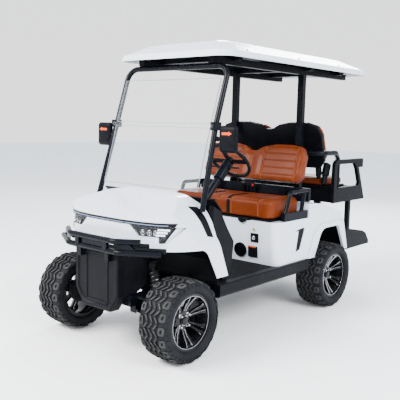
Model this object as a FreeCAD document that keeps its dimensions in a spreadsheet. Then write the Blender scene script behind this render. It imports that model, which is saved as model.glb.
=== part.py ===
"""Four-seat golf cart with a rear-facing back seat, as a parametric assembly.

Millimetres. X points to the cart's left, the nose points to -Y, Z is up.
Every piece is drawn about the datum midway between the axles, on the ground.
"""
import FreeCAD, Part
import Sketcher
import math
import os

SIZES = {
    # stance and running gear
    "wheelbase": 1820,
    "front_track": 1056,
    "rear_track": 1100,
    "tyre_diameter": 550,
    "tyre_width": 240,
    "tread_width": 214,
    "tread_base_drop": 9,
    "shoulder_drop": 14,
    "lug_count": 16,
    "lug_width": 46,
    "lug_lap": 12,
    "bead_diameter": 356,
    "rim_width": 200,
    "rim_wall": 10,
    "rim_lip_height": 12,
    "rim_lip_width": 7,
    "hub_radius": 52,
    "hub_face_inset": 62,
    "spoke_pairs": 7,
    "spoke_thickness": 16,
    "window_inner_radius": 66,
    "window_outer_radius": 152,
    "window_inner_width": 22,
    "window_outer_width": 66,
    "slot_inner_width": 7,
    "slot_outer_width": 26,
    "spindle_radius": 17,
    "running_clearance": 0.5,
    "piece_gap": 0.3,
    "drum_radius": 84,
    "drum_width": 50,
    "overrun": 40,
    # chassis
    "rail_centre": 225,
    "rail_width": 50,
    "rail_bottom": 335,
    "rail_top": 405,
    "rail_front": -1085,
    "rail_rear": 1500,
    "cross_width": 50,
    "kingpin_inset": 108,
    "kingpin_radius": 12,
    "knuckle_height": 96,
    "knuckle_width": 46,
    "arm_eye_radius": 24,
    "arm_eye_height": 26,
    "arm_drop": 50,
    "arm_radius": 11,
    "arm_spread": 130,
    "shock_radius": 30,
    "shock_rod_radius": 12,
    "shock_eye_radius": 16,
    "shock_top": 600,
    "shock_top_x": 275,
    "shock_foot_share": 0.6213,
    "axle_tube_radius": 38,
    "gearbox_half_width": 105,
    "gearbox_length": 190,
    "gearbox_height": 190,
    "motor_radius": 88,
    "motor_length": 210,
    "spring_x": 330,
    "spring_width": 50,
    "spring_thickness": 24,
    "spring_half_length": 310,
    "spring_camber": 28,
    "battery_half_width": 270,
    "battery_front": 170,
    "battery_rear": 560,
    "battery_headroom": 122,
    # floor and sills
    "floor_top": 460,
    "floor_thickness": 18,
    "floor_half_width": 556,
    "floor_front": -560,
    "floor_rear": 150,
    "sill_outer": 612,
    "sill_front": -598,
    "sill_rear": 560,
    "sill_bottom": 366,
    "sill_lip": 8,
    # front cowl
    "panel_wall": 5,
    "cowl_nose": -1084,
    "cowl_taper": 304,
    "cowl_half_width": 600,
    "cowl_plan_round": 240,
    "cowl_front_round": 180,
    "cowl_brow_round": 36,
    "cowl_hood_rear": -668,
    "cowl_hood_height": 1074,
    "cowl_lead_drop": 159,
    "cowl_flank_drop": 329,
    "cowl_waist_drop": 284,
    "cowl_leg_front": -617,
    "cowl_leg_rear": -500,
    "cowl_leg_foot": 508,
    "cowl_arch_rear": -755,
    "cowl_arch_top": 722,
    "cowl_arch_round": 90,
    # lamps
    "lamp_proud": 4,
    "lamp_depth": 24,
    "lamp_inner_top_x": 215,
    "lamp_inner_low_x": 290,
    "lamp_outer_x": 560,
    "lamp_tail_x": 470,
    "lamp_top_drop": 10,
    "lamp_height": 90,
    "lamp_foot_depth": 40,
    "light_bar_height": 24,
    # dash
    "dash_half_width": 550,
    "dash_wall": 6,
    "cheek_width": 36,
    # bumper
    "bumper_tube_radius": 19,
    "upper_tube_y": -1211,
    "upper_tube_z": 785,
    "upper_tube_half_width": 365,
    "upper_tube_end_y": -1112,
    "lower_tube_y": -1201,
    "lower_tube_z": 714,
    "lower_tube_half_width": 493,
    "lower_tube_end_y": -1052,
    "bumper_panel_front": -1162,
    "bumper_panel_wall": 8,
    "bumper_panel_top": 690,
    "bumper_panel_bottom": 292,
    "bumper_panel_top_half": 215,
    "bumper_panel_low_half": 138,
    # posts, screen and roof
    "post_radius": 20,
    "post_base_x": 523,
    "post_base_y": -702,
    "post_base_drop": 114,
    "post_clamp_x": 491,
    "post_clamp_y": -545,
    "post_clamp_z": 1525,
    "post_top_y": -412,
    "post_top_z": 1940,
    "post_bend_radius": 90,
    "screen_thickness": 6,
    "screen_half_width": 466,
    "clamp_size": 56,
    "roof_edge_z": 1998,
    "roof_front": -520,
    "roof_rear": 1583,
    "roof_half_width": 554,
    "roof_corner_radius": 120,
    "roof_tail_radius": 55,
    "roof_tail_share": 1.9,
    "roof_skirt": 44,
    "roof_crown": 140,
    "roof_wall": 6,
    "roof_step_inset": 16,
    "roof_shoulder_share": 0.6,
    "roof_shoulder_inset": 90,
    "roof_upper_share": 0.84,
    "roof_upper_inset": 150,
    "roof_crown_inset": 250,
    "roof_rib_inset": 183,
    "roof_rail_x": 345,
    "roof_rail_width": 50,
    "rear_post_y": 770,
    "rear_post_depth": 44,
    "rear_post_width": 55,
    # mirrors
    "mirror_x": 612,
    "mirror_y": -560,
    "mirror_z": 1441,
    "mirror_width": 145,
    "mirror_height": 178,
    "mirror_depth": 34,
    # rear body
    "body_half_width": 582,
    "body_corner_radius": 60,
    "body_front_low": 130,
    "body_front_high": 102,
    "deck_height": 797,
    "deck_rear": 573,
    "shoulder_front": 596,
    "shoulder_rear": 668,
    "shoulder_rise": 108,
    "body_brow_y": 833,
    "body_brow_rise": 91,
    "body_crease_rise": 3,
    "body_crease_taper": 22,
    "tail_drop": 5,
    "tail_y": 1142,
    "body_tail_y": 1258,
    "body_tail_foot": 452,
    "arch_front_low": 668,
    "arch_front_high": 776,
    "arch_drop": 109,
    "arch_rear_high": 1056,
    "arch_rear_low": 1178,
    "arch_low": 470,
    "arch_depth": 80,
    "arch_front_round": 110,
    "arch_rear_round": 40,
    "flare_front_low": 576,
    "flare_front_high": 706,
    "flare_band": 42,
    "flare_round": 195,
    "flare_proud": 18,
    "flare_edge": 11,
    "vent_front": 369,
    "vent_length": 153,
    "vent_foot": 534,
    "vent_height": 192,
    "vent_lap": 14,
    "vent_wall": 4,
    "hatch_half_width": 440,
    "hatch_front": 170,
    "hatch_rear": 550,
    # front seat
    "seat_half_width": 525,
    "seat_front": 112,
    "seat_rear": 562,
    "seat_pan_height": 14,
    "seat_rise": 165,
    "seat_corner_radius": 55,
    "seat_roll": 34,
    "seat_hinge_y": 96,
    "seat_hinge_rise": 9,
    "seat_hinge_radius": 7,
    "seat_hinge_x": 300,
    "seat_hinge_length": 60,
    "back_half_width": 520,
    "back_foot_y": 520,
    "back_foot_rise": 102,
    "back_height": 348,
    "back_dip": 62,
    "back_thickness": 88,
    "back_lean": 16.5,
    "back_hump_x": 262,
    "hip_front": 574,
    "hip_depth": 30,
    "hip_rise": 128,
    "hip_height": 109,
    "arm_x": 556,
    "arm_tube_radius": 17,
    # rear seat
    "rear_back_half_width": 520,
    "rear_back_foot_y": 912,
    "rear_back_foot_rise": 96,
    "rear_back_height": 398,
    "rear_back_dip": 60,
    "rear_shell_thickness": 30,
    "rear_pad_thickness": 78,
    "rear_back_lean": 17,
    "rear_base_half_width": 504,
    "rear_base_front": 1086,
    "rear_base_rear": 1430,
    "rear_base_rise": 76,
    "rear_base_depth": 132,
    "rear_base_wall": 12,
    "rear_seat_inset": 52,
    "rear_seat_front": 1050,
    "rear_seat_rear": 1424,
    "rear_seat_pan": 12,
    "rear_seat_rise": 82,
    "rear_hinge_y": 1440,
    "side_panel_thickness": 30,
    "side_front": 1064,
    "side_rise": 248,
    "side_round": 60,
    "side_tail": 1600,
    "side_foot_rear": 1654,
    "grab_inset": 24,
    "grab_outer_x": 546,
    "grab_radius": 22,
    "grab_rise": 134,
    "grab_drop": 64,
    "grab_bend_y": 1040,
    "grab_foot_y": 1210,
    "strut_y": 1350,
    "strut_size": 40,
    "tail_strut_inset": 4,
    "tail_strut_y": 1418,
    "tail_strut_lap": 24,
    "step_front": 1405,
    "step_front_top": 600,
    "step_crest_y": 1740,
    "step_crest": 545,
    "step_rear_top_y": 1812,
    "step_rear_top": 512,
    "step_rear": 1880,
    "step_rear_low": 430,
    "step_half_width": 500,
    "step_wall": 8,
    # controls
    "column_x": 270,
    "column_foot_gap": 18.6,
    "column_foot_drop": 220.4,
    "column_radius": 26,
    "shroud_radius": 40,
    "shroud_drop": 25,
    "shroud_length": 160,
    "stalk_drop": 62,
    "stalk_reach": 125,
    "stalk_radius": 7,
    "steer_centre_y": -96,
    "steer_centre_z": 1262,
    "steer_diameter": 360,
    "steer_rim_radius": 14,
    "steer_rim_sides": 8,
    "steer_hub_radius": 38,
    "steer_spoke_width": 34,
    "steer_spoke_thickness": 12,
    "pedal_width": 70,
    "pedal_height": 110,
    "pedal_thickness": 12,
    # small items on the seat box
    "speaker_radius": 58,
    "speaker_x": 240,
    "speaker_z": 550,
    "socket_x": 380,
    "socket_z": 663,
    "socket_half": 36,
    "charger_x": 361,
    "charger_z": 550,
    "charger_half": 44,
    "fitting_depth": 6,
    # hardpoints
    "tow_bore_radius": 8,
    "hitch_bore_radius": 6.5,
}

doc = FreeCAD.newDocument("golf_cart")
sheet = doc.addObject("Spreadsheet::Sheet", "sizes")
for row, (alias, value) in enumerate(SIZES.items(), start=1):
    sheet.set("A%d" % row, alias)
    sheet.set("B%d" % row, str(value))
    sheet.setAlias("B%d" % row, alias)
doc.recompute()


class Size:
    """A length with the spreadsheet expression that gives it."""

    def __init__(self, value, text):
        self.value = float(value)
        self.text = text

    def __add__(self, other):
        other = as_size(other)
        return Size(self.value + other.value, "(%s + %s)" % (self.text, other.text))

    def __sub__(self, other):
        other = as_size(other)
        return Size(self.value - other.value, "(%s - %s)" % (self.text, other.text))

    def __mul__(self, factor):
        factor = as_size(factor)
        return Size(self.value * factor.value, "(%s * %s)" % (self.text, factor.text))

    def __truediv__(self, factor):
        factor = as_size(factor)
        return Size(self.value / factor.value, "(%s / %s)" % (self.text, factor.text))

    def __neg__(self):
        return Size(-self.value, "(0 - %s)" % self.text)

    __radd__ = __add__
    __rmul__ = __mul__


def as_size(number):
    """Take a plain share or count as a Size."""
    if isinstance(number, Size):
        return number
    return Size(number, "(%.6f)" % number)


class Cells:
    """The spreadsheet's cells by name."""

    def __getattr__(self, alias):
        return Size(sheet.get(alias), "sizes." + alias)


c = Cells()
ZERO = Size(0, "0")

# Heights that follow the hood, the deck and the rear seat's box.
lead_edge = c.cowl_hood_height - c.cowl_lead_drop
flank_height = c.cowl_hood_height - c.cowl_flank_drop
waist_height = c.cowl_hood_height - c.cowl_waist_drop
lamp_top = lead_edge - c.lamp_top_drop
lamp_low = lamp_top - c.lamp_height
lamp_foot = lamp_low - c.lamp_foot_depth
post_base_z = c.cowl_hood_height - c.post_base_drop
shoulder_height = c.deck_height + c.shoulder_rise
brow_height = c.deck_height + c.body_brow_rise
tail_height = c.deck_height - c.tail_drop
arch_top = c.deck_height - c.arch_drop
seat_top = c.deck_height + c.seat_rise
seat_hinge_z = c.deck_height + c.seat_hinge_rise
back_foot_z = seat_top + c.back_foot_rise
hip_bottom = c.deck_height + c.hip_rise
hip_top = hip_bottom + c.hip_height
rear_base_bottom = tail_height + c.rear_base_rise
rear_base_top = rear_base_bottom + c.rear_base_depth
rear_seat_top = rear_base_top + c.rear_seat_rise
rear_back_foot_z = rear_seat_top + c.rear_back_foot_rise
side_top = rear_base_top + c.side_rise
rear_seat_half = c.rear_base_half_width - c.rear_seat_inset

UP = FreeCAD.Vector(0, 0, 1)
SIDEWAYS = FreeCAD.Vector(1, 0, 0)
FORWARD = FreeCAD.Vector(0, 1, 0)

# The reference frame is centred on the whole cart, so each piece moves forward by this much.
cart_front = c.upper_tube_y - c.bumper_tube_radius
cart_rear = c.step_rear
shift = (cart_front + cart_rear) / 2
cart_nodes = []


def bind(thing, prop, length):
    """Tie one property to the sheet."""
    thing.setExpression(prop, as_size(length).text)


def place(thing, x, y, z, turn=None):
    """Put an object at a named place, turned about its own origin if asked."""
    point = FreeCAD.Vector(as_size(x).value, as_size(y).value, as_size(z).value)
    thing.Placement = FreeCAD.Placement(point, turn or FreeCAD.Rotation())
    for axis, length in (("x", x), ("y", y), ("z", z)):
        bind(thing, "Placement.Base." + axis, length)


def node(thing, label, x=ZERO, y=ZERO, z=ZERO, turn=None):
    """Name a finished sub-part and move it into the reference frame."""
    if thing.TypeId in ("Part::Box", "Part::Cylinder"):
        thing = together(label, [thing])
    thing.Label = label
    place(thing, x, as_size(y) - shift, z, turn)
    cart_nodes.append(thing)
    return thing


def box(name, x0, x1, y0, y1, z0, z1):
    """A block between two named corners."""
    thing = doc.addObject("Part::Box", name)
    bind(thing, "Length", as_size(x1) - x0)
    bind(thing, "Width", as_size(y1) - y0)
    bind(thing, "Height", as_size(z1) - z0)
    place(thing, x0, y0, z0)
    return thing


def rod(name, start, end, radius):
    """A round bar from one point to another."""
    a = FreeCAD.Vector(*[as_size(v).value for v in start])
    b = FreeCAD.Vector(*[as_size(v).value for v in end])
    thing = doc.addObject("Part::Cylinder", name)
    bind(thing, "Radius", radius)
    spans = [as_size(p) - q for p, q in zip(end, start)]
    text = " + ".join("%s * %s" % (s.text, s.text) for s in spans)
    thing.setExpression("Height", "sqrt(%s)" % text)
    place(thing, *start, turn=FreeCAD.Rotation(UP, b - a))
    return thing


def origin_plane(body, role):
    """One of a body's own origin planes."""
    return [p for p in body.Origin.OriginFeatures if p.Role == role][0]


def sketch(body, name, role, outlines, offset=ZERO):
    """Closed outlines of straight sides on one of the body's planes, each corner pinned."""
    flat = body.newObject("Sketcher::SketchObject", name)
    flat.AttachmentSupport = [(origin_plane(body, role), "")]
    flat.MapMode = "FlatFace"
    bind(flat, "AttachmentOffset.Base.z", offset)
    for outline in outlines:
        corners = [(as_size(u), as_size(v)) for u, v in outline]
        first = flat.GeometryCount
        for here, there in zip(corners, corners[1:] + corners[:1]):
            start = FreeCAD.Vector(here[0].value, here[1].value, 0)
            end = FreeCAD.Vector(there[0].value, there[1].value, 0)
            flat.addGeometry(Part.LineSegment(start, end), False)
        count = len(corners)
        for i, (u, v) in enumerate(corners):
            before = first + (i - 1) % count
            flat.addConstraint(Sketcher.Constraint("Coincident", before, 2, first + i, 1))
            across = flat.addConstraint(Sketcher.Constraint("DistanceX", -1, 1, first + i, 1, u.value))
            along = flat.addConstraint(Sketcher.Constraint("DistanceY", -1, 1, first + i, 1, v.value))
            flat.setExpression("Constraints[%d]" % across, u.text)
            flat.setExpression("Constraints[%d]" % along, v.text)
    return flat


def pad(name, role, outlines, start, end):
    """A body padded square to one of its planes, from one height to another."""
    body = doc.addObject("PartDesign::Body", name)
    flat = sketch(body, name + "_outline", role, outlines, start)
    feature = body.newObject("PartDesign::Pad", name + "_pad")
    feature.Profile = flat
    bind(feature, "Length", as_size(end) - start)
    return body


def side_pad(name, outlines, x0, x1):
    """An outline in the side view (Y, Z), from one X to another."""
    return pad(name, "YZ_Plane", outlines, x0, x1)


def front_pad(name, outlines, y0, y1):
    """An outline in the front view (X, Z), from one Y to another."""
    return pad(name, "XZ_Plane", outlines, -as_size(y1), -as_size(y0))


def plan_pad(name, outlines, z0, z1):
    """An outline in the plan view (X, Y), from one Z to another."""
    return pad(name, "XY_Plane", outlines, z0, z1)


def mirrored(outline):
    """A half outline and its mirror image, as one closed outline."""
    return list(outline) + [(-as_size(u), v) for u, v in reversed(outline)]


def rounded(body, radius, wanted):
    """Fillet the edges of a body that a test picks."""
    doc.recompute()
    tip = body.Tip
    names = ["Edge%d" % (i + 1) for i, edge in enumerate(tip.Shape.Edges) if wanted(edge)]
    feature = body.newObject("PartDesign::Fillet", body.Name + "_round_%d" % len(body.Group))
    feature.Base = (tip, names)
    bind(feature, "Radius", radius)
    body.Tip = feature
    return body


PARALLEL = 0.999
NEAR = 0.01


def at(value, place):
    """Whether a coordinate is at a named place."""
    return abs(value - as_size(place).value) < NEAR


def runs_along(direction, where=None):
    """A test for straight edges along one direction, where their middle passes a second test."""
    def wanted(edge):
        if len(edge.Vertexes) < 2 or edge.Curve.TypeId != "Part::GeomLine":
            return False
        start, end = [v.Point for v in edge.Vertexes]
        if start == end or abs((end - start).normalize().dot(direction)) < PARALLEL:
            return False
        return where is None or where((start + end) / 2)
    return wanted


def cut(name, base, tool):
    """One object less another."""
    thing = doc.addObject("Part::Cut", name)
    thing.Base = base
    thing.Tool = tool
    return thing


def fuse(name, pieces):
    """Several objects made one."""
    thing = doc.addObject("Part::MultiFuse", name)
    thing.Shapes = pieces
    thing.Refine = True
    return thing


def common(name, pieces):
    """What several objects share."""
    thing = doc.addObject("Part::MultiCommon", name)
    thing.Shapes = pieces
    return thing


def together(name, pieces):
    """Separate solids kept in one sub-part."""
    thing = doc.addObject("Part::Compound", name)
    thing.Links = pieces
    return thing


def mirror(name, source):
    """The mirror image on the cart's other side."""
    thing = doc.addObject("Part::Mirroring", name)
    thing.Source = source
    thing.Normal = SIDEWAYS
    thing.Base = FreeCAD.Vector(0, 0, 0)
    return thing


def both_sides(name, source):
    """A piece and its mirror image."""
    return together(name, [source, mirror(name + "_other", source)])


def bent_path(name, points, bend):
    """A path of straight runs joined by tangent arcs of one radius."""
    corners = [FreeCAD.Vector(*[as_size(v).value for v in p]) for p in points]
    edges = []
    here = corners[0]
    for before, corner, after in zip(corners, corners[1:], corners[2:]):
        back = (before - corner).normalize()
        on = (after - corner).normalize()
        half = math.acos(max(-1, min(1, back.dot(on)))) / 2
        reach = bend / math.tan(half)
        start = corner + back * reach
        end = corner + on * reach
        middle = corner + (back + on).normalize() * (bend / math.sin(half) - bend)
        edges.append(Part.LineSegment(here, start).toShape())
        edges.append(Part.Arc(start, middle, end).toShape())
        here = end
    edges.append(Part.LineSegment(here, corners[-1]).toShape())
    path = doc.addObject("Part::Feature", name)
    path.Shape = Part.Wire(edges)
    return path, corners[1] - corners[0], len(edges)


def tube(name, points, radius, bend):
    """A bent round tube along named points."""
    path, heading, count = bent_path(name + "_path", points, as_size(bend).value)
    ring = doc.addObject("Part::Circle", name + "_ring")
    bind(ring, "Radius", radius)
    place(ring, *points[0], turn=FreeCAD.Rotation(UP, heading))
    thing = doc.addObject("Part::Sweep", name)
    thing.Sections = [ring]
    thing.Spine = (path, ["Edge%d" % (i + 1) for i in range(count)])
    thing.Solid = True
    thing.Frenet = False
    return thing


# Wheels

def lug_outline(root, crest, turn):
    """One lug seen along the axle, turned about it."""
    half = c.lug_width / 2
    return [(across * math.cos(turn) + radius * math.sin(turn),
             radius * math.cos(turn) - across * math.sin(turn))
            for across, radius in ((-half, root), (half, root), (half, crest), (-half, crest))]


def tyre(label):
    """All-terrain tyre: a filled carcass with two staggered rows of lugs, about its own X axis."""
    outer = c.tyre_diameter / 2
    base = outer - c.tread_base_drop
    bead = c.bead_diameter / 2
    half = c.tyre_width / 2
    tread = c.tread_width / 2
    gap = c.piece_gap
    seat = c.rim_width / 2 - c.rim_lip_width - gap
    flange = bead + c.rim_lip_height + gap
    bulge = (base + bead) / 2
    body = doc.addObject("PartDesign::Body", label)
    outline = [(-seat, bead), (seat, bead), (seat, flange), (half, bulge), (tread, base),
               (-tread, base), (-half, bulge), (-seat, flange)]
    flat = sketch(body, label + "_section", "XZ_Plane", [outline])
    carcass = body.newObject("PartDesign::Revolution", label + "_carcass")
    carcass.Profile = flat
    carcass.ReferenceAxis = (flat, ["H_Axis"])
    carcass.Angle = 360
    root = base - c.shoulder_drop * 2
    reach = tread + c.rim_lip_width
    for row, start in enumerate((-c.lug_lap, -reach)):
        turn = math.pi / SIZES["lug_count"] * row
        lug = sketch(body, "%s_lug_%d" % (label, row), "YZ_Plane",
                     [lug_outline(root, outer, turn)], start)
        block = body.newObject("PartDesign::Pad", "%s_block_%d" % (label, row))
        block.Profile = lug
        bind(block, "Length", reach + c.lug_lap)
        ring = body.newObject("PartDesign::PolarPattern", "%s_tread_%d" % (label, row))
        ring.Originals = [block]
        ring.Axis = (flat, ["H_Axis"])
        ring.Angle = 360
        bind(ring, "Occurrences", c.lug_count)
        body.Tip = ring
    return body


def rim(label, outward):
    """Deep alloy rim with paired spokes and its brake drum, its face towards +X or -X."""
    half = c.rim_width / 2
    seat = c.bead_diameter / 2 - c.piece_gap
    inner = seat - c.rim_wall
    lip = seat + c.rim_lip_height
    body = doc.addObject("PartDesign::Body", label)
    barrel = [(-half, inner), (half, inner), (half, lip), (half - c.rim_lip_width, lip),
              (half - c.rim_lip_width, seat), (-half + c.rim_lip_width, seat),
              (-half + c.rim_lip_width, lip), (-half, lip)]
    flat = sketch(body, label + "_section", "XZ_Plane", [barrel])
    shell = body.newObject("PartDesign::Revolution", label + "_barrel")
    shell.Profile = flat
    shell.ReferenceAxis = (flat, ["H_Axis"])
    shell.Angle = 360
    face = (half - c.hub_face_inset) * outward
    outer_face = (half - c.rim_lip_width) * outward
    back = c.spoke_thickness * outward
    bore = c.spindle_radius + c.running_clearance
    web = [(face, bore), (face, c.hub_radius), (outer_face, inner + c.piece_gap),
           (outer_face - back * 2, inner + c.piece_gap), (face - back, c.hub_radius + c.rim_wall),
           (face - back * 3, c.hub_radius), (face - back * 3, bore)]
    if outward < 0:
        web.reverse()
    disc_flat = sketch(body, label + "_web_section", "XZ_Plane", [web])
    disc = body.newObject("PartDesign::Revolution", label + "_web")
    disc.Profile = disc_flat
    disc.ReferenceAxis = (disc_flat, ["H_Axis"])
    disc.Angle = 360
    hub_back = face - back * 3
    drum_back = hub_back - c.drum_width * outward
    drum = [(hub_back, bore), (hub_back, c.drum_radius), (drum_back, c.drum_radius),
            (drum_back, bore)]
    if outward < 0:
        drum.reverse()
    window = [(-c.window_inner_width / 2, c.window_inner_radius),
              (c.window_inner_width / 2, c.window_inner_radius),
              (c.window_outer_width / 2, c.window_outer_radius),
              (-c.window_outer_width / 2, c.window_outer_radius)]
    turn = math.pi / SIZES["spoke_pairs"]
    near = c.window_inner_radius + c.spoke_thickness
    slot = []
    for across, radius in ((-c.slot_inner_width / 2, near), (c.slot_inner_width / 2, near),
                           (c.slot_outer_width / 2, c.window_outer_radius),
                           (-c.slot_outer_width / 2, c.window_outer_radius)):
        slot.append((across * math.cos(turn) + radius * math.sin(turn),
                     radius * math.cos(turn) - across * math.sin(turn)))
    hole = sketch(body, label + "_windows", "YZ_Plane", [window, slot])
    pocket = body.newObject("PartDesign::Pocket", label + "_window")
    pocket.Profile = hole
    pocket.Midplane = True
    bind(pocket, "Length", c.rim_width + c.overrun)
    ring = body.newObject("PartDesign::PolarPattern", label + "_spokes")
    ring.Originals = [pocket]
    ring.Axis = (flat, ["H_Axis"])
    ring.Angle = 360
    bind(ring, "Occurrences", c.spoke_pairs)
    drum_flat = sketch(body, label + "_drum_section", "XZ_Plane", [drum])
    turned = body.newObject("PartDesign::Revolution", label + "_drum")
    turned.Profile = drum_flat
    turned.ReferenceAxis = (drum_flat, ["H_Axis"])
    turned.Angle = 360
    body.Tip = turned
    return body


front_axle_y = -c.wheelbase / 2
rear_axle_y = c.wheelbase / 2
axle_z = c.tyre_diameter / 2
corners = (("fl", 1, c.front_track, front_axle_y), ("fr", -1, c.front_track, front_axle_y),
           ("rl", 1, c.rear_track, rear_axle_y), ("rr", -1, c.rear_track, rear_axle_y))
for corner, side, track, axle_y in corners:
    centre = (track * side / 2, axle_y, axle_z)
    node(tyre("tyre_" + corner), "tyre_" + corner, *centre)
    node(rim("rim_" + corner, side), "rim_" + corner, *centre)

hub_back_inset = c.rim_width / 2 - c.hub_face_inset - c.spoke_thickness * 3 - c.drum_width


# Running gear

kingpin_x = c.front_track / 2 - c.kingpin_inset


def knuckle(label):
    """Upright with its kingpin, spindle and steering arm, on the left."""
    half = c.knuckle_height / 2
    back = kingpin_x - c.knuckle_width / 2
    drum_back = c.front_track / 2 + hub_back_inset - c.running_clearance
    block = rod(label + "_block", (kingpin_x, front_axle_y, axle_z - half),
                (kingpin_x, front_axle_y, axle_z + half), c.knuckle_width / 2)
    pin_half = half + c.arm_eye_height + c.piece_gap * 2
    pin = rod(label + "_pin", (kingpin_x, front_axle_y, axle_z - pin_half),
              (kingpin_x, front_axle_y, axle_z + pin_half), c.kingpin_radius)
    flange = rod(label + "_flange", (kingpin_x, front_axle_y, axle_z),
                 (drum_back, front_axle_y, axle_z), c.spindle_radius * 2)
    spindle = rod(label + "_spindle", (kingpin_x, front_axle_y, axle_z),
                  (c.front_track / 2 + c.rim_width / 2 - c.hub_face_inset, front_axle_y, axle_z),
                  c.spindle_radius)
    arm = box(label + "_arm", back, kingpin_x, front_axle_y, front_axle_y + c.arm_spread,
              axle_z - c.arm_radius, axle_z + c.arm_radius)
    return fuse(label, [block, pin, flange, spindle, arm])


left_knuckle = knuckle("knuckle_left_form")
node(together("knuckle_left", [left_knuckle]), "knuckle_left")
node(mirror("knuckle_right", left_knuckle), "knuckle_right")

rail_inner = c.rail_centre - c.rail_width / 2
rail_outer = c.rail_centre + c.rail_width / 2


arm_pivot_x = rail_outer + c.arm_radius + c.piece_gap
low_pivot_z = c.rail_bottom - c.arm_drop + c.arm_radius * 1.5
high_pivot_z = c.rail_top - c.arm_radius
low_eye_z = axle_z - c.knuckle_height / 2 - c.piece_gap - c.arm_eye_height / 2
high_eye_z = axle_z + c.knuckle_height / 2 + c.piece_gap + c.arm_eye_height / 2
arm_tip_x = kingpin_x - c.arm_eye_radius
shock_foot_x = arm_pivot_x + (arm_tip_x - arm_pivot_x) * c.shock_foot_share
shock_seat_z = low_pivot_z + (low_eye_z - low_pivot_z) * c.shock_foot_share


def front_arm(level, pivot_z, eye_z):
    """One wishbone of the left wheel: pivot tube, two legs and the kingpin eye."""
    half = c.arm_eye_height / 2
    eye = rod("arm_eye_" + level, (kingpin_x, front_axle_y, eye_z - half),
              (kingpin_x, front_axle_y, eye_z + half), c.arm_eye_radius)
    pivot = rod("arm_pivot_" + level, (arm_pivot_x, front_axle_y - c.arm_spread, pivot_z),
                (arm_pivot_x, front_axle_y + c.arm_spread, pivot_z), c.arm_radius)
    legs = [rod("arm_leg_%s_%d" % (level, i),
                (arm_pivot_x, front_axle_y + (c.arm_spread - c.arm_radius) * way, pivot_z),
                (arm_tip_x, front_axle_y, eye_z), c.arm_radius) for i, way in enumerate((-1, 1))]
    pieces = [eye, pivot] + legs
    if level == "low":
        spread = c.arm_spread * (as_size(1) - c.shock_foot_share)
        pieces.append(rod("shock_seat", (shock_foot_x, front_axle_y - spread, shock_seat_z),
                          (shock_foot_x, front_axle_y + spread, shock_seat_z), c.arm_radius))
    bore = rod("arm_bore_" + level, (kingpin_x, front_axle_y, eye_z - c.overrun),
               (kingpin_x, front_axle_y, eye_z + c.overrun), c.kingpin_radius + c.running_clearance)
    return cut("arm_" + level, fuse("arm_solid_" + level, pieces), bore)


def worth(length):
    """A Size's number, for sorting."""
    return length.value


arms = together("front_arms_left", [front_arm("low", low_pivot_z, low_eye_z),
                                    front_arm("high", high_pivot_z, high_eye_z)])
node(both_sides("front_arms", arms), "front_arms")


def front_shock():
    """Coil-over of the left wheel, from the lower arm up to the frame tower."""
    foot_z = shock_seat_z + c.arm_radius + c.shock_eye_radius + c.piece_gap
    foot = (shock_foot_x, front_axle_y, foot_z)
    top = (c.shock_top_x, front_axle_y, c.shock_top)
    low_share, high_share = 0.18, 0.82
    low, high = [(shock_foot_x + (c.shock_top_x - shock_foot_x) * share, front_axle_y,
                  foot_z + (c.shock_top - foot_z) * share) for share in (low_share, high_share)]
    half = c.shock_radius / 2
    eyes = [rod("shock_eye_%d" % i, (x, front_axle_y - half, z), (x, front_axle_y + half, z),
                c.shock_eye_radius)
            for i, (x, y, z) in enumerate((foot, top))]
    return fuse("front_shock", [rod("shock_rod", foot, top, c.shock_rod_radius),
                                rod("shock_coil", low, high, c.shock_radius)] + eyes)


node(both_sides("front_shocks", front_shock()), "front_shocks")


def frame():
    """Ladder frame: two box rails, cross members, shock towers and the tow plate."""
    pieces = []
    for side in (-1, 1):
        inner = min(rail_inner * side, rail_outer * side, key=worth)
        outer = max(rail_inner * side, rail_outer * side, key=worth)
        pieces.append(box("rail_%d" % side, inner, outer, c.rail_front, c.rail_rear,
                          c.rail_bottom, c.rail_top))
        wall = sorted((rail_inner * side, rail_outer * side), key=worth)
        cap = sorted((rail_inner * side, (c.shock_top_x + c.shock_radius) * side), key=worth)
        cap_low = c.shock_top + c.shock_eye_radius + c.piece_gap
        half = c.rail_width / 2
        pieces.append(box("tower_%d" % side, wall[0], wall[1], front_axle_y - half,
                          front_axle_y + half, c.rail_top - half, cap_low))
        pieces.append(box("tower_cap_%d" % side, cap[0], cap[1], front_axle_y - half,
                          front_axle_y + half, cap_low, cap_low + c.shock_rod_radius))
        pieces.append(box("arm_mount_%d" % side, wall[0], wall[1], front_axle_y - c.arm_spread,
                          front_axle_y + c.arm_spread, c.rail_bottom - c.arm_drop,
                          c.rail_bottom + half))
    stations = (c.rail_front, front_axle_y + c.arm_spread + c.cross_width, c.floor_rear,
                c.rail_rear - c.cross_width)
    for i, y in enumerate(stations):
        pieces.append(box("cross_%d" % i, -rail_outer, rail_outer, y, y + c.cross_width,
                          c.rail_bottom, c.rail_top))
    floor_under = c.floor_top - c.floor_thickness
    for i, y in enumerate((c.floor_front, c.floor_rear - c.cross_width)):
        pieces.append(box("floor_beam_%d" % i, -c.floor_half_width, c.floor_half_width, y,
                          y + c.cross_width, c.rail_top - c.cross_width, floor_under))
    solid = fuse("frame_solid", pieces)
    middle = (c.rail_bottom + c.rail_top) / 2
    tow_y = c.rail_front + c.cross_width / 2
    bores = [rod("tow_bore", (ZERO, tow_y, c.rail_bottom - c.overrun),
                 (ZERO, tow_y, c.rail_top + c.overrun), c.tow_bore_radius),
             rod("hitch_bore", (ZERO, c.rail_rear - c.cross_width - c.overrun, middle),
                 (ZERO, c.rail_rear + c.overrun, middle), c.hitch_bore_radius)]
    return cut("frame_form", solid, together("frame_bores", bores))


node(frame(), "frame")


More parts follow.
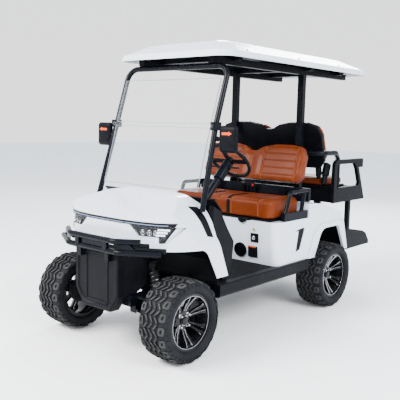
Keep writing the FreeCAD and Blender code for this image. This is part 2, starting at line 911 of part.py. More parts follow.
def rear_axle():
    """Axle tubes, shaft ends, gearbox and the motor on the back of it."""
    tube_end = c.rear_track / 2 + hub_back_inset - c.running_clearance
    casing = box("gearbox", -c.gearbox_half_width, c.gearbox_half_width,
                 rear_axle_y - c.gearbox_length / 2, rear_axle_y + c.gearbox_length / 2,
                 axle_z - c.gearbox_height / 2, axle_z + c.gearbox_height / 2)
    tubes = rod("axle_tube", (-tube_end, rear_axle_y, axle_z), (tube_end, rear_axle_y, axle_z),
                c.axle_tube_radius)
    end = c.rear_track / 2 + c.rim_width / 2 - c.hub_face_inset
    shaft = rod("axle_shaft", (-end, rear_axle_y, axle_z), (end, rear_axle_y, axle_z),
                c.spindle_radius)
    motor_start = rear_axle_y + c.gearbox_length / 2
    motor = rod("motor", (ZERO, motor_start - c.rim_wall, axle_z),
                (ZERO, motor_start + c.motor_length, axle_z), c.motor_radius)
    return fuse("rear_axle_form", [casing, tubes, shaft, motor])


node(rear_axle(), "rear_axle")


def rear_spring():
    """Left leaf spring with its two hangers and the axle pad."""
    low = axle_z + c.axle_tube_radius
    half = c.spring_half_length
    t = c.spring_thickness
    x0 = c.spring_x - c.spring_width / 2
    x1 = c.spring_x + c.spring_width / 2
    leaf = side_pad("leaf", [[(rear_axle_y - half, low + c.spring_camber),
                              (rear_axle_y - half / 2, low + c.spring_camber / 4),
                              (rear_axle_y, low), (rear_axle_y + half / 2, low + c.spring_camber / 4),
                              (rear_axle_y + half, low + c.spring_camber),
                              (rear_axle_y + half, low + c.spring_camber + t),
                              (rear_axle_y + half / 2, low + c.spring_camber / 4 + t),
                              (rear_axle_y, low + t * 1.5),
                              (rear_axle_y - half / 2, low + c.spring_camber / 4 + t),
                              (rear_axle_y - half, low + c.spring_camber + t)]], x0, x1)
    hangers = [box("hanger_%d" % way, rail_outer, x1,
                   rear_axle_y + half * way - t, rear_axle_y + half * way + t,
                   low + c.spring_camber, c.rail_top) for way in (-1, 1)]
    return fuse("rear_spring", [leaf] + hangers)


node(both_sides("rear_springs", rear_spring()), "rear_springs")
node(box("battery_form", -c.battery_half_width, c.battery_half_width, c.battery_front,
         c.battery_rear, c.rail_top, c.deck_height - c.battery_headroom), "battery")


# Floor, sills and dash

node(box("floor_form", -c.floor_half_width, c.floor_half_width, c.floor_front, c.floor_rear,
         c.floor_top - c.floor_thickness, c.floor_top), "floor_pan")
floor_under = c.floor_top - c.floor_thickness


def sill():
    """Left rocker with its rolled lip, behind the step-in opening."""
    inner = c.floor_half_width
    outer = c.sill_outer
    lip = c.sill_lip
    top = c.floor_top - c.piece_gap
    section = [(inner, floor_under - lip), (inner, top), (outer - lip, top), (outer, top - lip),
               (outer, c.sill_bottom + lip * 2),
               (outer - lip * 2, c.sill_bottom), (inner + lip, c.sill_bottom)]
    return front_pad("sill_form", [section], c.sill_front, c.sill_rear)


node(both_sides("sills", sill()), "sills")


# Nose in plan: share of the half width against share of the taper's length.
nose_plan_shares = ((1, 1), (0.945, 0.7), (0.835, 0.41), (0.7, 0.22), (0.5, 0.1), (0.25, 0.03))
# Nose from the front: share of the half width against share of the height over the flank.
nose_rise_shares = ((0.905, 0.44), (0.84, 0.62), (0.75, 0.76), (0.55, 0.91), (0.25, 1))


def cowl_solid(name, inset):
    """Plan and front views of the nose, set in by a wall."""
    wall = as_size(inset)
    nose = c.cowl_nose + wall
    half = c.cowl_half_width - wall
    rear = c.cowl_leg_rear + c.overrun
    plan = plan_pad(name + "_plan", [mirrored([(half, rear)] + [
        (half * across, nose + c.cowl_taper * along) for across, along in nose_plan_shares])],
        c.cowl_leg_foot - c.overrun, c.cowl_hood_height + c.overrun)
    rounded(plan, c.cowl_plan_round - wall,
            runs_along(UP, lambda middle: middle.y < c.cowl_hood_rear.value))
    rise = c.cowl_hood_height - flank_height
    front = front_pad(name + "_front", [mirrored([
        (half, c.cowl_leg_foot - c.overrun), (half, flank_height - wall)] + [
        (half * across, flank_height - wall + rise * up) for across, up in nose_rise_shares])],
        c.cowl_nose - c.overrun, rear + c.overrun)
    rounded(front, c.cowl_front_round - wall,
            runs_along(FORWARD, lambda middle: middle.z > c.cowl_leg_foot.value))
    return plan, front


def cowl_side(name, inset, open_below):
    """Side view of the nose; the inner copy runs on below and behind."""
    wall = as_size(inset)
    reach = c.overrun if open_below else ZERO
    hood_y = c.cowl_hood_rear
    outline = [(c.cowl_nose - c.overrun, c.cowl_arch_top - reach * 4),
               (c.cowl_nose - c.overrun, lead_edge - wall),
               (c.cowl_nose, lead_edge - wall),
               (hood_y, c.cowl_hood_height - wall),
               (hood_y + c.overrun, c.cowl_hood_height - c.overrun / 2 - wall),
               (c.cowl_leg_front + reach * 3, waist_height),
               (c.cowl_leg_rear + reach * 3, c.cowl_leg_foot - reach),
               (c.cowl_leg_front - reach * 3, c.cowl_leg_foot - reach),
               (c.cowl_arch_rear + c.overrun - reach, c.cowl_arch_top - c.overrun - reach * 4),
               (c.cowl_arch_rear - reach, c.cowl_arch_top - reach * 4)]
    side = side_pad(name + "_side", [outline], -c.cowl_half_width - c.overrun,
                    c.cowl_half_width + c.overrun)
    rounded(side, c.cowl_brow_round - wall, runs_along(
        SIDEWAYS, lambda middle: at(middle.y, hood_y)))
    if not open_below:
        rounded(side, c.cowl_arch_round, runs_along(
            SIDEWAYS, lambda middle: c.cowl_nose.value < middle.y < c.cowl_leg_front.value - NEAR
            and middle.z < c.cowl_arch_top.value + NEAR))
    return side


def cowl_form(name, inset, open_below=False):
    """The nose as a solid."""
    plan, front = cowl_solid(name, inset)
    return common(name, [plan, front, cowl_side(name, inset, open_below)])


outer_cowl = cowl_form("cowl_outer", ZERO)
inner_cowl = cowl_form("cowl_inner", c.panel_wall, open_below=True)
proud_cowl = cowl_form("cowl_proud", -c.lamp_proud)
deep_cowl = cowl_form("cowl_deep", c.lamp_depth, open_below=True)


def lamp_outline():
    """Front view of the left lamp: inner corner, tail and upper tip."""
    return [(c.lamp_inner_top_x, lamp_top - c.light_bar_height), (c.lamp_inner_low_x, lamp_low),
            (c.lamp_tail_x - c.overrun, lamp_low), (c.lamp_tail_x - c.overrun, lamp_foot),
            (c.lamp_tail_x, lamp_foot), (c.lamp_outer_x, lamp_top - c.light_bar_height)]


left_lamp_pad = front_pad("lamp_pad", [lamp_outline()], c.cowl_nose - c.overrun, c.cowl_arch_rear)
left_lamp = cut("lamp_form", common("lamp_block", [left_lamp_pad, proud_cowl]), deep_cowl)
bar_pad = front_pad("bar_pad", [mirrored([(c.lamp_outer_x, lamp_top - c.light_bar_height),
                                           (c.lamp_outer_x, lamp_top)])],
                    c.cowl_nose - c.overrun, c.cowl_arch_rear)
bar_form = cut("bar_form", common("bar_block", [bar_pad, proud_cowl]), deep_cowl)
lamp_holes = together("lamp_holes", [left_lamp_pad, mirror("lamp_pad_other", left_lamp_pad), bar_pad])
node(cut("front_cowl_form", cut("cowl_shell", outer_cowl, inner_cowl), lamp_holes), "front_cowl")
node(both_sides("headlamps", left_lamp), "headlamps")
node(together("light_bar", [bar_form]), "light_bar")


def dash():
    """Black dash board and its two cheeks, from the hood's rear edge to the floor."""
    w = c.dash_wall
    top = c.cowl_hood_height - c.overrun
    low = c.floor_top
    back = c.cowl_leg_front + w
    outline = [(back, top), (back + c.overrun * 2, top - c.overrun * 2),
               (back + c.overrun * 2, top - c.overrun * 5), (back, low + c.overrun * 4),
               (c.floor_front, low), (c.floor_front + w * 2, low),
               (back + w * 2, low + c.overrun * 4), (back + c.overrun * 2 + w, top - c.overrun * 5),
               (back + c.overrun * 2 + w, top - c.overrun * 2 + w), (back + w, top + w)]
    board = side_pad("dash_board", [outline], -c.dash_half_width, c.dash_half_width)
    tab = box("dash_tab", -c.cheek_width * 3, c.cheek_width * 3, c.cowl_hood_rear + c.overrun / 2,
              back + w, top, c.cowl_hood_height - c.overrun / 2 - c.panel_wall - c.piece_gap * 3)
    gap = c.piece_gap
    cheek = side_pad("dash_cheek", [[(c.cowl_leg_front + gap, waist_height),
                                     (c.cowl_leg_front + gap, top - c.overrun),
                                     (c.cowl_leg_rear - c.overrun, top - c.overrun * 2),
                                     (c.cowl_leg_rear + c.overrun, waist_height + c.overrun),
                                     (c.cowl_leg_rear + c.overrun * 3, c.cowl_arch_top),
                                     (c.cowl_leg_rear + c.overrun * 2.5, low + c.overrun * 3),
                                     (c.cowl_leg_rear + c.overrun, low),
                                     (c.cowl_leg_rear + gap, low),
                                     (c.cowl_leg_rear + gap, c.cowl_leg_foot)]],
                      c.dash_half_width - c.cheek_width, c.dash_half_width)
    return fuse("dash_form", [board, tab, cheek, mirror("dash_cheek_other", cheek)])


node(dash(), "dash")


# Bumper

def bumper():
    """Two bent tubes and the panel that ties them to the frame."""
    r = c.bumper_tube_radius
    upper = tube("bumper_upper", [
        (c.upper_tube_half_width, c.upper_tube_end_y, c.upper_tube_z),
        (c.upper_tube_half_width * 0.6, c.upper_tube_y, c.upper_tube_z),
        (-c.upper_tube_half_width * 0.6, c.upper_tube_y, c.upper_tube_z),
        (-c.upper_tube_half_width, c.upper_tube_end_y, c.upper_tube_z)], r, r * 5)
    lower = tube("bumper_lower", [
        (c.lower_tube_half_width, c.lower_tube_end_y, c.lower_tube_z),
        (c.lower_tube_half_width * 0.5, c.lower_tube_y, c.lower_tube_z),
        (-c.lower_tube_half_width * 0.5, c.lower_tube_y, c.lower_tube_z),
        (-c.lower_tube_half_width, c.lower_tube_end_y, c.lower_tube_z)], r, r * 5)
    ties = [box("bumper_tie_%d" % side, x - r, x + r, c.upper_tube_y - r / 2, c.upper_tube_y + r,
                c.lower_tube_z, c.upper_tube_z)
            for side, x in ((-1, -c.bumper_panel_low_half), (1, c.bumper_panel_low_half))]
    feet = [box("bumper_foot_%d" % side, x - r, x + r, c.lower_tube_y,
                c.bumper_panel_front - c.piece_gap, c.bumper_panel_top - c.cross_width,
                c.lower_tube_z)
            for side, x in ((-1, -c.bumper_panel_low_half), (1, c.bumper_panel_low_half))]
    return fuse("bumper_form", [upper, lower] + ties + feet)


node(bumper(), "bumper")


def bumper_panel():
    """Tapered black panel below the bumper, with cheeks back to the rails."""
    front = c.bumper_panel_front
    wall = c.bumper_panel_wall
    face = front_pad("bumper_face", [mirrored([
        (c.bumper_panel_low_half, c.bumper_panel_bottom), (c.bumper_panel_top_half, c.rail_top),
        (c.bumper_panel_top_half, c.bumper_panel_top)])], front, c.rail_front)
    hollow = front_pad("bumper_hollow", [mirrored([
        (c.bumper_panel_low_half - wall, c.bumper_panel_bottom - c.overrun),
        (c.bumper_panel_low_half - wall, c.bumper_panel_bottom + wall),
        (c.bumper_panel_top_half - wall, c.rail_top),
        (c.bumper_panel_top_half - wall, c.bumper_panel_top + c.overrun)])],
        front + wall, c.rail_front + c.overrun)
    return cut("bumper_panel_form", face, hollow)


node(bumper_panel(), "bumper_panel")


# Posts, screen, roof and mirrors

def screen_frame():
    """One bent tube, left post to right post over the screen, with its two joint clamps."""
    half = c.clamp_size / 2
    edge = c.screen_half_width + c.piece_gap
    clamp = box("post_clamp", edge, c.post_clamp_x + half, c.post_clamp_y - half,
                c.post_clamp_y + half, c.post_clamp_z - half, c.post_clamp_z + half)
    bar = tube("screen_frame", [
        (c.post_base_x, c.post_base_y, post_base_z),
        (c.post_clamp_x, c.post_clamp_y, c.post_clamp_z),
        (c.post_clamp_x, c.post_top_y, c.post_top_z),
        (-c.post_clamp_x, c.post_top_y, c.post_top_z),
        (-c.post_clamp_x, c.post_clamp_y, c.post_clamp_z),
        (-c.post_base_x, c.post_base_y, post_base_z)], c.post_radius, c.post_bend_radius)
    return fuse("front_posts_form", [bar, clamp, mirror("post_clamp_other", clamp)])


node(screen_frame(), "front_posts")


def post_y(z):
    """Where the leaning post's centre line is at one height."""
    z = as_size(z)
    if z.value > c.post_clamp_z.value:
        run = (z - c.post_clamp_z) / (c.post_top_z - c.post_clamp_z)
        return c.post_clamp_y + (c.post_top_y - c.post_clamp_y) * run
    run = (z - post_base_z) / (c.post_clamp_z - post_base_z)
    return c.post_base_y + (c.post_clamp_y - c.post_base_y) * run


def pane(name, low_z, high_z):
    """A clear pane between two heights, just in front of the posts."""
    off = c.post_radius * 1.05 + c.piece_gap
    t = c.screen_thickness
    low_y = post_y(low_z)
    high_y = post_y(high_z)
    return side_pad(name, [[(low_y - off, low_z), (high_y - off, high_z),
                            (high_y - off - t, high_z), (low_y - off - t, low_z)]],
                    -c.screen_half_width, c.screen_half_width)


half_bar = c.clamp_size / 4
low_pane = pane("pane_low", c.cowl_hood_height + half_bar, c.post_clamp_z - half_bar)
high_pane = pane("pane_high", c.post_clamp_z + half_bar, c.post_top_z - c.post_bend_radius)
node(together("windscreen", [low_pane, high_pane]), "windscreen")
bar_y = c.post_clamp_y - c.clamp_size / 2 - c.piece_gap
node(box("screen_bar_form", -c.post_clamp_x, c.post_clamp_x, bar_y - c.screen_thickness * 2,
         bar_y, c.post_clamp_z - half_bar, c.post_clamp_z + half_bar),
     "screen_bar")


corner_turns = [math.radians(turn) for turn in (90, 67.5, 45, 22.5, 0)]


def roof_ring(inset, wall):
    """Plan of the roof set in all round: wide corners in front, tight ones at the tail."""
    side = c.roof_half_width - inset - wall
    nose = c.roof_front + inset + wall
    tail = c.roof_rear - inset * c.roof_tail_share - wall
    wide = c.roof_corner_radius
    tight = c.roof_tail_radius
    front = [(side - wide + wide * math.cos(turn), nose + wide - wide * math.sin(turn))
             for turn in corner_turns]
    rear = [(side - tight + tight * math.cos(turn), tail - tight + tight * math.sin(turn))
            for turn in reversed(corner_turns)]
    return mirrored(front + rear)


def roof():
    """Crowned roof skin: five rounded outlines lofted, less the same set in by the wall."""
    body = doc.addObject("PartDesign::Body", "roof_form")
    levels = ((ZERO, ZERO), (c.roof_skirt, c.roof_step_inset),
              (c.roof_crown * c.roof_shoulder_share, c.roof_shoulder_inset),
              (c.roof_crown * c.roof_upper_share, c.roof_upper_inset),
              (c.roof_crown, c.roof_crown_inset))
    for wall, kind in ((ZERO, "Additive"), (c.roof_wall, "Subtractive")):
        rings = []
        for i, (height, inset) in enumerate(levels):
            drop = c.overrun if wall is not ZERO and i == 0 else wall
            rings.append(sketch(body, "roof_%s_%d" % (kind, i), "XY_Plane",
                                [roof_ring(inset, wall)], c.roof_edge_z + height - drop))
        loft = body.newObject("PartDesign::%sLoft" % kind, "roof_" + kind)
        loft.Profile = rings[0]
        loft.Sections = rings[1:]
        loft.Ruled = True
    body.Tip = loft
    return body


node(roof(), "roof")


def roof_frame():
    """Black rails under the roof skin and the cross beams that carry it."""
    low = c.post_top_z + c.post_radius
    rail_high = low + c.roof_rail_width
    inner = c.roof_wall + c.roof_shoulder_inset
    reach = c.roof_half_width - inner - c.post_radius
    climb = c.post_radius / (c.roof_upper_inset - c.roof_shoulder_inset)
    crown_share = c.roof_shoulder_share + (c.roof_upper_share - c.roof_shoulder_share) * climb
    crown = c.roof_edge_z + c.roof_crown * crown_share - c.roof_wall - c.piece_gap
    rails = [box("roof_rail_%d" % side, x - c.roof_rail_width / 2, x + c.roof_rail_width / 2,
                 c.post_top_y - c.post_radius, c.roof_rear - inner, low, rail_high)
             for side, x in ((-1, -c.roof_rail_x), (1, c.roof_rail_x))]
    start = c.roof_front + inner + c.roof_rib_inset
    end = c.roof_rear - inner - c.roof_rib_inset - c.roof_rail_width
    ribs = [box("roof_rib_%d" % i, -reach, reach, y, y + c.roof_rail_width,
                rail_high - c.post_radius, crown)
            for i, y in enumerate((start, c.rear_post_y - c.roof_rail_width / 2, end))]
    return fuse("roof_frame_form", rails + ribs)


node(roof_frame(), "roof_frame")


def along(start, end, y):
    """Height at one station of a straight run between two (Y, Z) points."""
    share = (as_size(y) - start[0]) / (end[0] - start[0])
    return start[1] + (end[1] - start[1]) * share


def deck_line(y):
    """Height of the rear body's top at one station behind its shoulder."""
    brow = (c.body_brow_y, brow_height)
    if as_size(y).value < c.body_brow_y.value:
        return along((c.shoulder_rear, shoulder_height), brow, y)
    return along(brow, (c.tail_y, tail_height), y)


def step_line(y):
    """Height of the rear step's deck at one station."""
    return along((c.step_front, c.step_front_top), (c.step_crest_y, c.step_crest), y)


def mirror_head():
    """Left mirror head with its stalk back to the post."""
    x0 = c.mirror_x - c.mirror_width / 2
    x1 = c.mirror_x + c.mirror_width / 2
    z0 = c.mirror_z - c.mirror_height / 2
    z1 = c.mirror_z + c.mirror_height / 2
    chamfer = c.mirror_depth / 2
    head = front_pad("mirror_head", [[(x0 + chamfer, z0), (x1 - chamfer, z0), (x1, z0 + chamfer),
                                      (x1, z1 - chamfer), (x1 - chamfer, z1), (x0 + chamfer, z1),
                                      (x0, z1 - chamfer), (x0, z0 + chamfer)]],
                     c.mirror_y - c.mirror_depth / 2, c.mirror_y + c.mirror_depth / 2)
    stalk = rod("mirror_stalk", (c.post_clamp_x + c.post_radius, c.post_clamp_y, c.mirror_z),
                (x0 + chamfer, c.mirror_y, c.mirror_z), c.seat_hinge_radius)
    return fuse("mirror_form", [head, stalk])


node(both_sides("mirrors", mirror_head()), "mirrors")


# Rear body

def body_outline(wall, reach):
    """Side view of the rear body; the inner copy is set in by a wall and runs on below."""
    w = as_size(wall)
    low = c.floor_top - reach
    return [(c.body_front_low + w, low), (c.body_front_high + w, c.deck_height - w),
            (c.deck_rear + w, c.deck_height - w), (c.shoulder_front + w, shoulder_height - w),
            (c.shoulder_rear, shoulder_height - w), (c.body_brow_y, brow_height - w),
            (c.tail_y - w, tail_height - w), (c.body_tail_y - w, c.body_tail_foot - reach),
            (c.arch_rear_low, c.body_tail_foot - reach), (c.arch_rear_low, low)]


def body_sides(name, wall):
    """Front view of the rear body: upright sides that lean in above the crease."""
    half = c.body_half_width - wall
    return front_pad(name, [mirrored([
        (half, c.floor_top - c.overrun * 2), (half, c.deck_height + c.body_crease_rise),
        (half - c.body_crease_taper, shoulder_height + c.overrun)])],
        c.body_front_high - c.overrun, c.body_tail_y + c.overrun)


def arch_form():
    """The wheel opening through both sides, with rounded upper corners."""
    foot = c.arch_low - c.arch_depth
    reach = c.body_half_width + c.overrun
    arch = side_pad("body_arch", [[
        (c.arch_front_low, foot), (c.arch_front_low, c.arch_low), (c.arch_front_high, arch_top),
        (c.arch_rear_high, arch_top), (c.arch_rear_low, c.arch_low), (c.arch_rear_low, foot)]],
        -reach, reach)
    for y, radius in ((c.arch_front_high, c.arch_front_round), (c.arch_rear_high, c.arch_rear_round)):
        rounded(arch, radius, runs_along(
            SIDEWAYS, lambda middle: at(middle.y, y) and at(middle.z, arch_top)))
    return arch


def flare():
    """Left arch's flare: a band proud of the side wall with rounded outer edges."""
    face = c.body_half_width + c.flare_proud
    low = c.floor_top
    top = arch_top + c.flare_band
    tail = [along((tail_height, c.tail_y), (c.body_tail_foot, c.body_tail_y), z) - c.flare_edge
            for z in (top, low)]
    band = side_pad("flare", [[(c.flare_front_low, low), (c.flare_front_high, top),
                               (tail[0], top), (tail[1], low)]],
                    c.body_half_width - c.panel_wall, face)
    rounded(band, c.flare_round, runs_along(SIDEWAYS, lambda middle: at(middle.y, c.flare_front_high)))
    return rounded(band, c.flare_edge, lambda edge: all(at(v.Point.x, face) for v in edge.Vertexes)
                   and not all(at(v.Point.z, low) for v in edge.Vertexes))


# The side vent's corners as shares of its length and height.
vent_shares = ((0, 0.911), (0.804, 1), (1, 0.948), (0.582, 0.099), (0.157, 0), (0.373, 0.875))


def vent_outline():
    """Side view of the vent behind the step-in opening."""
    return [(c.vent_front + c.vent_length * across, c.vent_foot + c.vent_height * up)
            for across, up in vent_shares]


def rear_body():
    """White seat box and fenders: walls at real thickness, flares, arches, hatch and vents cut."""
    half = c.body_half_width
    wall = c.panel_wall
    side = side_pad("body_outer_side", [body_outline(ZERO, ZERO)], -half, half)
    rounded(side, c.body_corner_radius, is_front_corner)
    outer = common("body_outer", [side, body_sides("body_outer_front", ZERO)])
    inner = common("body_inner", [
        side_pad("body_inner_side", [body_outline(wall, c.overrun)], -half + wall, half - wall),
        body_sides("body_inner_front", wall)])
    left_flare = flare()
    white = fuse("body_white", [cut("body_shell", outer, inner), left_flare,
                                mirror("flare_other", left_flare)])
    vent = side_pad("body_vent", [vent_outline()], -half - c.overrun, half + c.overrun)
    hatch = box("body_hatch", -c.hatch_half_width, c.hatch_half_width, c.hatch_front, c.hatch_rear,
                c.deck_height - c.overrun, c.deck_height + c.overrun)
    return cut("rear_body_form", white, together("body_tools", [arch_form(), vent, hatch]))


def is_front_corner(edge):
    """The two upright corners of the seat box, at its sloping front face."""
    if len(edge.Vertexes) < 2:
        return False
    rear = max(v.Point.y for v in edge.Vertexes)
    tall = abs(edge.Vertexes[0].Point.z - edge.Vertexes[1].Point.z)
    return rear < c.body_front_low.value + NEAR and tall > c.floor_top.value / 2


node(rear_body(), "rear_body")

front_run = c.body_front_high - c.body_front_low
front_rise = c.deck_height - c.floor_top
front_slope = front_run.value / front_rise.value


def on_front_wall(x, z, proud):
    """A point square to the seat box's leaning front wall, some way in front of it."""
    steep = 1 / math.hypot(1, front_slope)
    y = c.body_front_low + (as_size(z) - c.floor_top) * front_slope
    return x, y - as_size(proud) * steep, as_size(z) + as_size(proud) * (front_slope * steep)


def wall_plate(name, x, z, half):
    """A square plate flat on the leaning front wall."""
    plate = doc.addObject("Part::Box", name)
    bind(plate, "Length", half * 2)
    bind(plate, "Width", c.fitting_depth)
    bind(plate, "Height", half * 2)
    lean_back = FreeCAD.Rotation(SIDEWAYS, -math.degrees(math.atan(front_slope)))
    place(plate, *on_front_wall(x - half, z - half, c.piece_gap + c.fitting_depth), turn=lean_back)
    return plate


def seat_box_fittings():
    """Speaker, socket and charger port on the seat box's front wall; dark plates behind its vents."""
    gap = c.piece_gap
    speaker = rod("speaker", on_front_wall(c.speaker_x, c.speaker_z, gap),
                  on_front_wall(c.speaker_x, c.speaker_z, gap + c.fitting_depth), c.speaker_radius)
    socket = wall_plate("socket", c.socket_x, c.socket_z, c.socket_half)
    charger = wall_plate("charger", c.charger_x, c.charger_z, c.charger_half)
    inside = c.body_half_width - c.panel_wall - gap
    lap = c.vent_lap
    plate = box("vent_plate", inside - c.vent_wall, inside, c.vent_front - lap,
                c.vent_front + c.vent_length + lap, c.vent_foot - lap,
                c.vent_foot + c.vent_height + lap)
    return together("seat_box_fittings_form", [
        speaker, socket, charger, plate, mirror("vent_plate_other", plate)])


node(seat_box_fittings(), "seat_box_fittings")


# Front seat

def cushion(name, half, front, rear, low, high):
    """A plain upholstered block with rolled edges."""
    body = plan_pad(name, [[(-half, front), (half, front), (half, rear), (-half, rear)]], low, high)
    rounded(body, c.seat_corner_radius, runs_along(UP))
    rounded(body, c.seat_roll, lambda edge: all(at(v.Point.z, high) for v in edge.Vertexes))
    return body


pan_low = c.deck_height + c.piece_gap
pan_high = pan_low + c.seat_pan_height
node(cushion("front_cushion_form", c.seat_half_width, c.seat_front, c.seat_rear,
             pan_high, seat_top), "front_cushion")
hinge_arm = box("seat_hinge_arm", c.seat_hinge_x - c.seat_hinge_length / 2,
                c.seat_hinge_x + c.seat_hinge_length / 2, c.seat_hinge_y, c.seat_front + c.overrun,
                pan_low, pan_high)
hinge_barrel = rod("seat_hinge_barrel", (c.seat_hinge_x - c.seat_hinge_length / 2, c.seat_hinge_y,
                                         seat_hinge_z),
                   (c.seat_hinge_x + c.seat_hinge_length / 2, c.seat_hinge_y, seat_hinge_z),
                   c.seat_hinge_radius)
inset = c.seat_roll / 2
pan = box("seat_pan_plate", -c.seat_half_width + inset, c.seat_half_width - inset,
          c.seat_front + inset, c.seat_rear - inset, pan_low, pan_high)
node(fuse("front_seat_pan_form", [pan, hinge_arm, hinge_barrel, mirror("hinge_arm_other", hinge_arm),
                                  mirror("hinge_barrel_other", hinge_barrel)]), "front_seat_pan")


def humps(half, height, dip, hump_x):
    """Front view of a backrest with two shoulders and a dip between them."""
    return mirrored([(half * 0.9, ZERO), (half, height * 0.16), (half, height * 0.72),
                     (half * 0.93, height * 0.93), (half * 0.76, height),
                     (hump_x * 0.8, height), (hump_x * 0.4, height - dip * 0.35),
                     (hump_x * 0.12, height - dip)])


def backrest(name, half, height, dip, near, far):
    """A backrest slab in its own upright frame, from one depth to another."""
    return front_pad(name, [humps(half, height, dip, c.back_hump_x)], near, far)


front_pad_form = backrest("front_back", c.back_half_width, c.back_height, c.back_dip,
                          ZERO, c.back_thickness)
lean = FreeCAD.Rotation(SIDEWAYS, -SIZES["back_lean"])
node(front_pad_form, "front_backrest", ZERO, c.back_foot_y, back_foot_z, lean)

def armrest():
    """Left hip loop on its base block."""
    base_top = c.deck_height + c.overrun * 1.6
    r = c.arm_tube_radius
    base = box("arm_base", c.arm_x - r, c.arm_x + r, c.seat_front + c.overrun * 3,
               c.deck_rear, c.deck_height, base_top)
    loop = tube("arm_loop", [(c.arm_x, c.seat_front + c.overrun * 3.7, base_top - r),
                             (c.arm_x, c.seat_front + c.overrun * 5.2, hip_top - r),
                             (c.arm_x, c.hip_front - c.piece_gap, hip_top - r)], r, r * 2)
    leg = rod("arm_leg", (c.arm_x, c.hip_front - c.overrun, hip_top - r),
              (c.arm_x, c.deck_rear - c.overrun * 2, base_top - r), r)
    return fuse("armrest", [base, loop, leg])


node(both_sides("front_armrests", armrest()), "front_armrests")


# Rear seat

rear_lean = FreeCAD.Rotation(SIDEWAYS, SIZES["rear_back_lean"])
shell_form = backrest("rear_shell", c.rear_back_half_width, c.rear_back_height, c.rear_back_dip,
                      ZERO, c.rear_shell_thickness)
node(shell_form, "rear_back_shell", ZERO, c.rear_back_foot_y, rear_back_foot_z, rear_lean)
pad_form = backrest("rear_pad", c.rear_back_half_width * 0.97, c.rear_back_height * 0.97,
                    c.rear_back_dip, c.rear_shell_thickness + c.piece_gap,
                    c.rear_shell_thickness + c.rear_pad_thickness)
node(pad_form, "rear_backrest", ZERO, c.rear_back_foot_y, rear_back_foot_z, rear_lean)

def rear_posts():
    """Welded rear frame: roof posts on the sloping deck, hip band, brackets and grab rails."""
    half = c.rear_post_width / 2
    y0 = c.rear_post_y - c.rear_post_depth / 2
    y1 = c.rear_post_y + c.rear_post_depth / 2
    top = c.post_top_z + c.post_radius
    grab_z = rear_back_foot_z + c.grab_rise
    grab_x = c.rear_base_half_width - c.grab_inset
    pieces = [box("hip_band", -c.arm_x - c.arm_tube_radius, c.arm_x + c.arm_tube_radius, c.hip_front,
                  c.hip_front + c.hip_depth, hip_bottom, hip_top)]
    seat_slope = math.tan(math.radians(SIZES["back_lean"]))
    shell_slope = math.tan(math.radians(SIZES["rear_back_lean"]))
    seat_back = (c.back_foot_y + c.back_thickness / math.cos(math.radians(SIZES["back_lean"]))
                 + c.piece_gap)
    seat_low = c.overrun
    shell_low = c.overrun
    plate = c.rear_post_width
    left = [side_pad("rear_post", [[(y0, deck_line(y0)), (y1, deck_line(y1)), (y1, top), (y0, top)]],
                     c.roof_rail_x - half, c.roof_rail_x + half),
            side_pad("seat_bracket", [[(seat_back + seat_low * seat_slope, back_foot_z + seat_low),
                                       (y1, back_foot_z + seat_low),
                                       (y1, back_foot_z + seat_low + plate),
                                       (seat_back + (seat_low + plate) * seat_slope,
                                        back_foot_z + seat_low + plate)]],
                     c.roof_rail_x - half, c.roof_rail_x + half),
            box("hip_bracket", c.roof_rail_x - half, c.roof_rail_x + half, c.hip_front, y1,
                hip_bottom, hip_bottom + plate),
            side_pad("shell_bracket", [[(y0, rear_back_foot_z + shell_low),
                                        (c.rear_back_foot_y - shell_low * shell_slope - c.piece_gap,
                                         rear_back_foot_z + shell_low),
                                        (c.rear_back_foot_y - (shell_low + plate) * shell_slope
                                         - c.piece_gap, rear_back_foot_z + shell_low + plate),
                                        (y0, rear_back_foot_z + shell_low + plate)]],
                     c.roof_rail_x - half, c.roof_rail_x + half),
            tube("grab_rail", [(c.roof_rail_x, c.rear_post_y, grab_z),
                               (c.grab_outer_x, y1 + half, grab_z),
                               (c.grab_outer_x, c.grab_bend_y, grab_z),
                               (grab_x, c.grab_foot_y, grab_z - c.grab_drop),
                               (grab_x, c.grab_foot_y, rear_base_top + c.piece_gap)],
                 c.grab_radius, c.grab_radius * 3)]
    return fuse("rear_posts_form", pieces + left + [mirror(p.Name + "_other", p) for p in left])


node(rear_posts(), "rear_posts")


def rear_base():
    """Open box under the rear cushion, on struts from the rails and feet on the deck."""
    w = c.rear_base_wall
    outer = box("base_outer", -c.rear_base_half_width, c.rear_base_half_width, c.rear_base_front,
                c.rear_base_rear, rear_base_bottom, rear_base_top)
    inner = box("base_inner", -c.rear_base_half_width + w, c.rear_base_half_width - w,
                c.rear_base_front + w, c.rear_base_rear - w, rear_base_bottom + w,
                rear_base_top + c.overrun)
    y0 = c.strut_y - c.strut_size / 2
    y1 = c.strut_y + c.strut_size / 2
    strut = box("strut", rail_inner, rail_inner + c.strut_size, y0, y1, c.rail_top, rear_base_bottom)
    f0 = c.rear_base_front + w
    f1 = c.tail_y - w
    foot = side_pad("base_foot", [[(f0, deck_line(f0)), (f1, deck_line(f1)),
                                   (f1, rear_base_bottom), (f0, rear_base_bottom)]],
                    c.roof_rail_x - c.rear_post_width / 2, c.roof_rail_x + c.rear_post_width / 2)
    t0 = c.tail_strut_y
    t1 = t0 + c.strut_size
    tail_x = c.rear_base_half_width - c.tail_strut_inset
    tail_top = rear_base_bottom + c.tail_strut_lap
    tail_strut = side_pad("tail_strut", [[(t0, step_line(t0) + c.piece_gap),
                                          (t1, step_line(t1) + c.piece_gap), (t1, tail_top),
                                          (t0, tail_top)]], tail_x - c.strut_size, tail_x)
    pieces = [strut, foot, tail_strut]
    return fuse("rear_base_form", [cut("base_box", outer, inner)] + pieces
                + [mirror(p.Name + "_other", p) for p in pieces])


node(rear_base(), "rear_base")

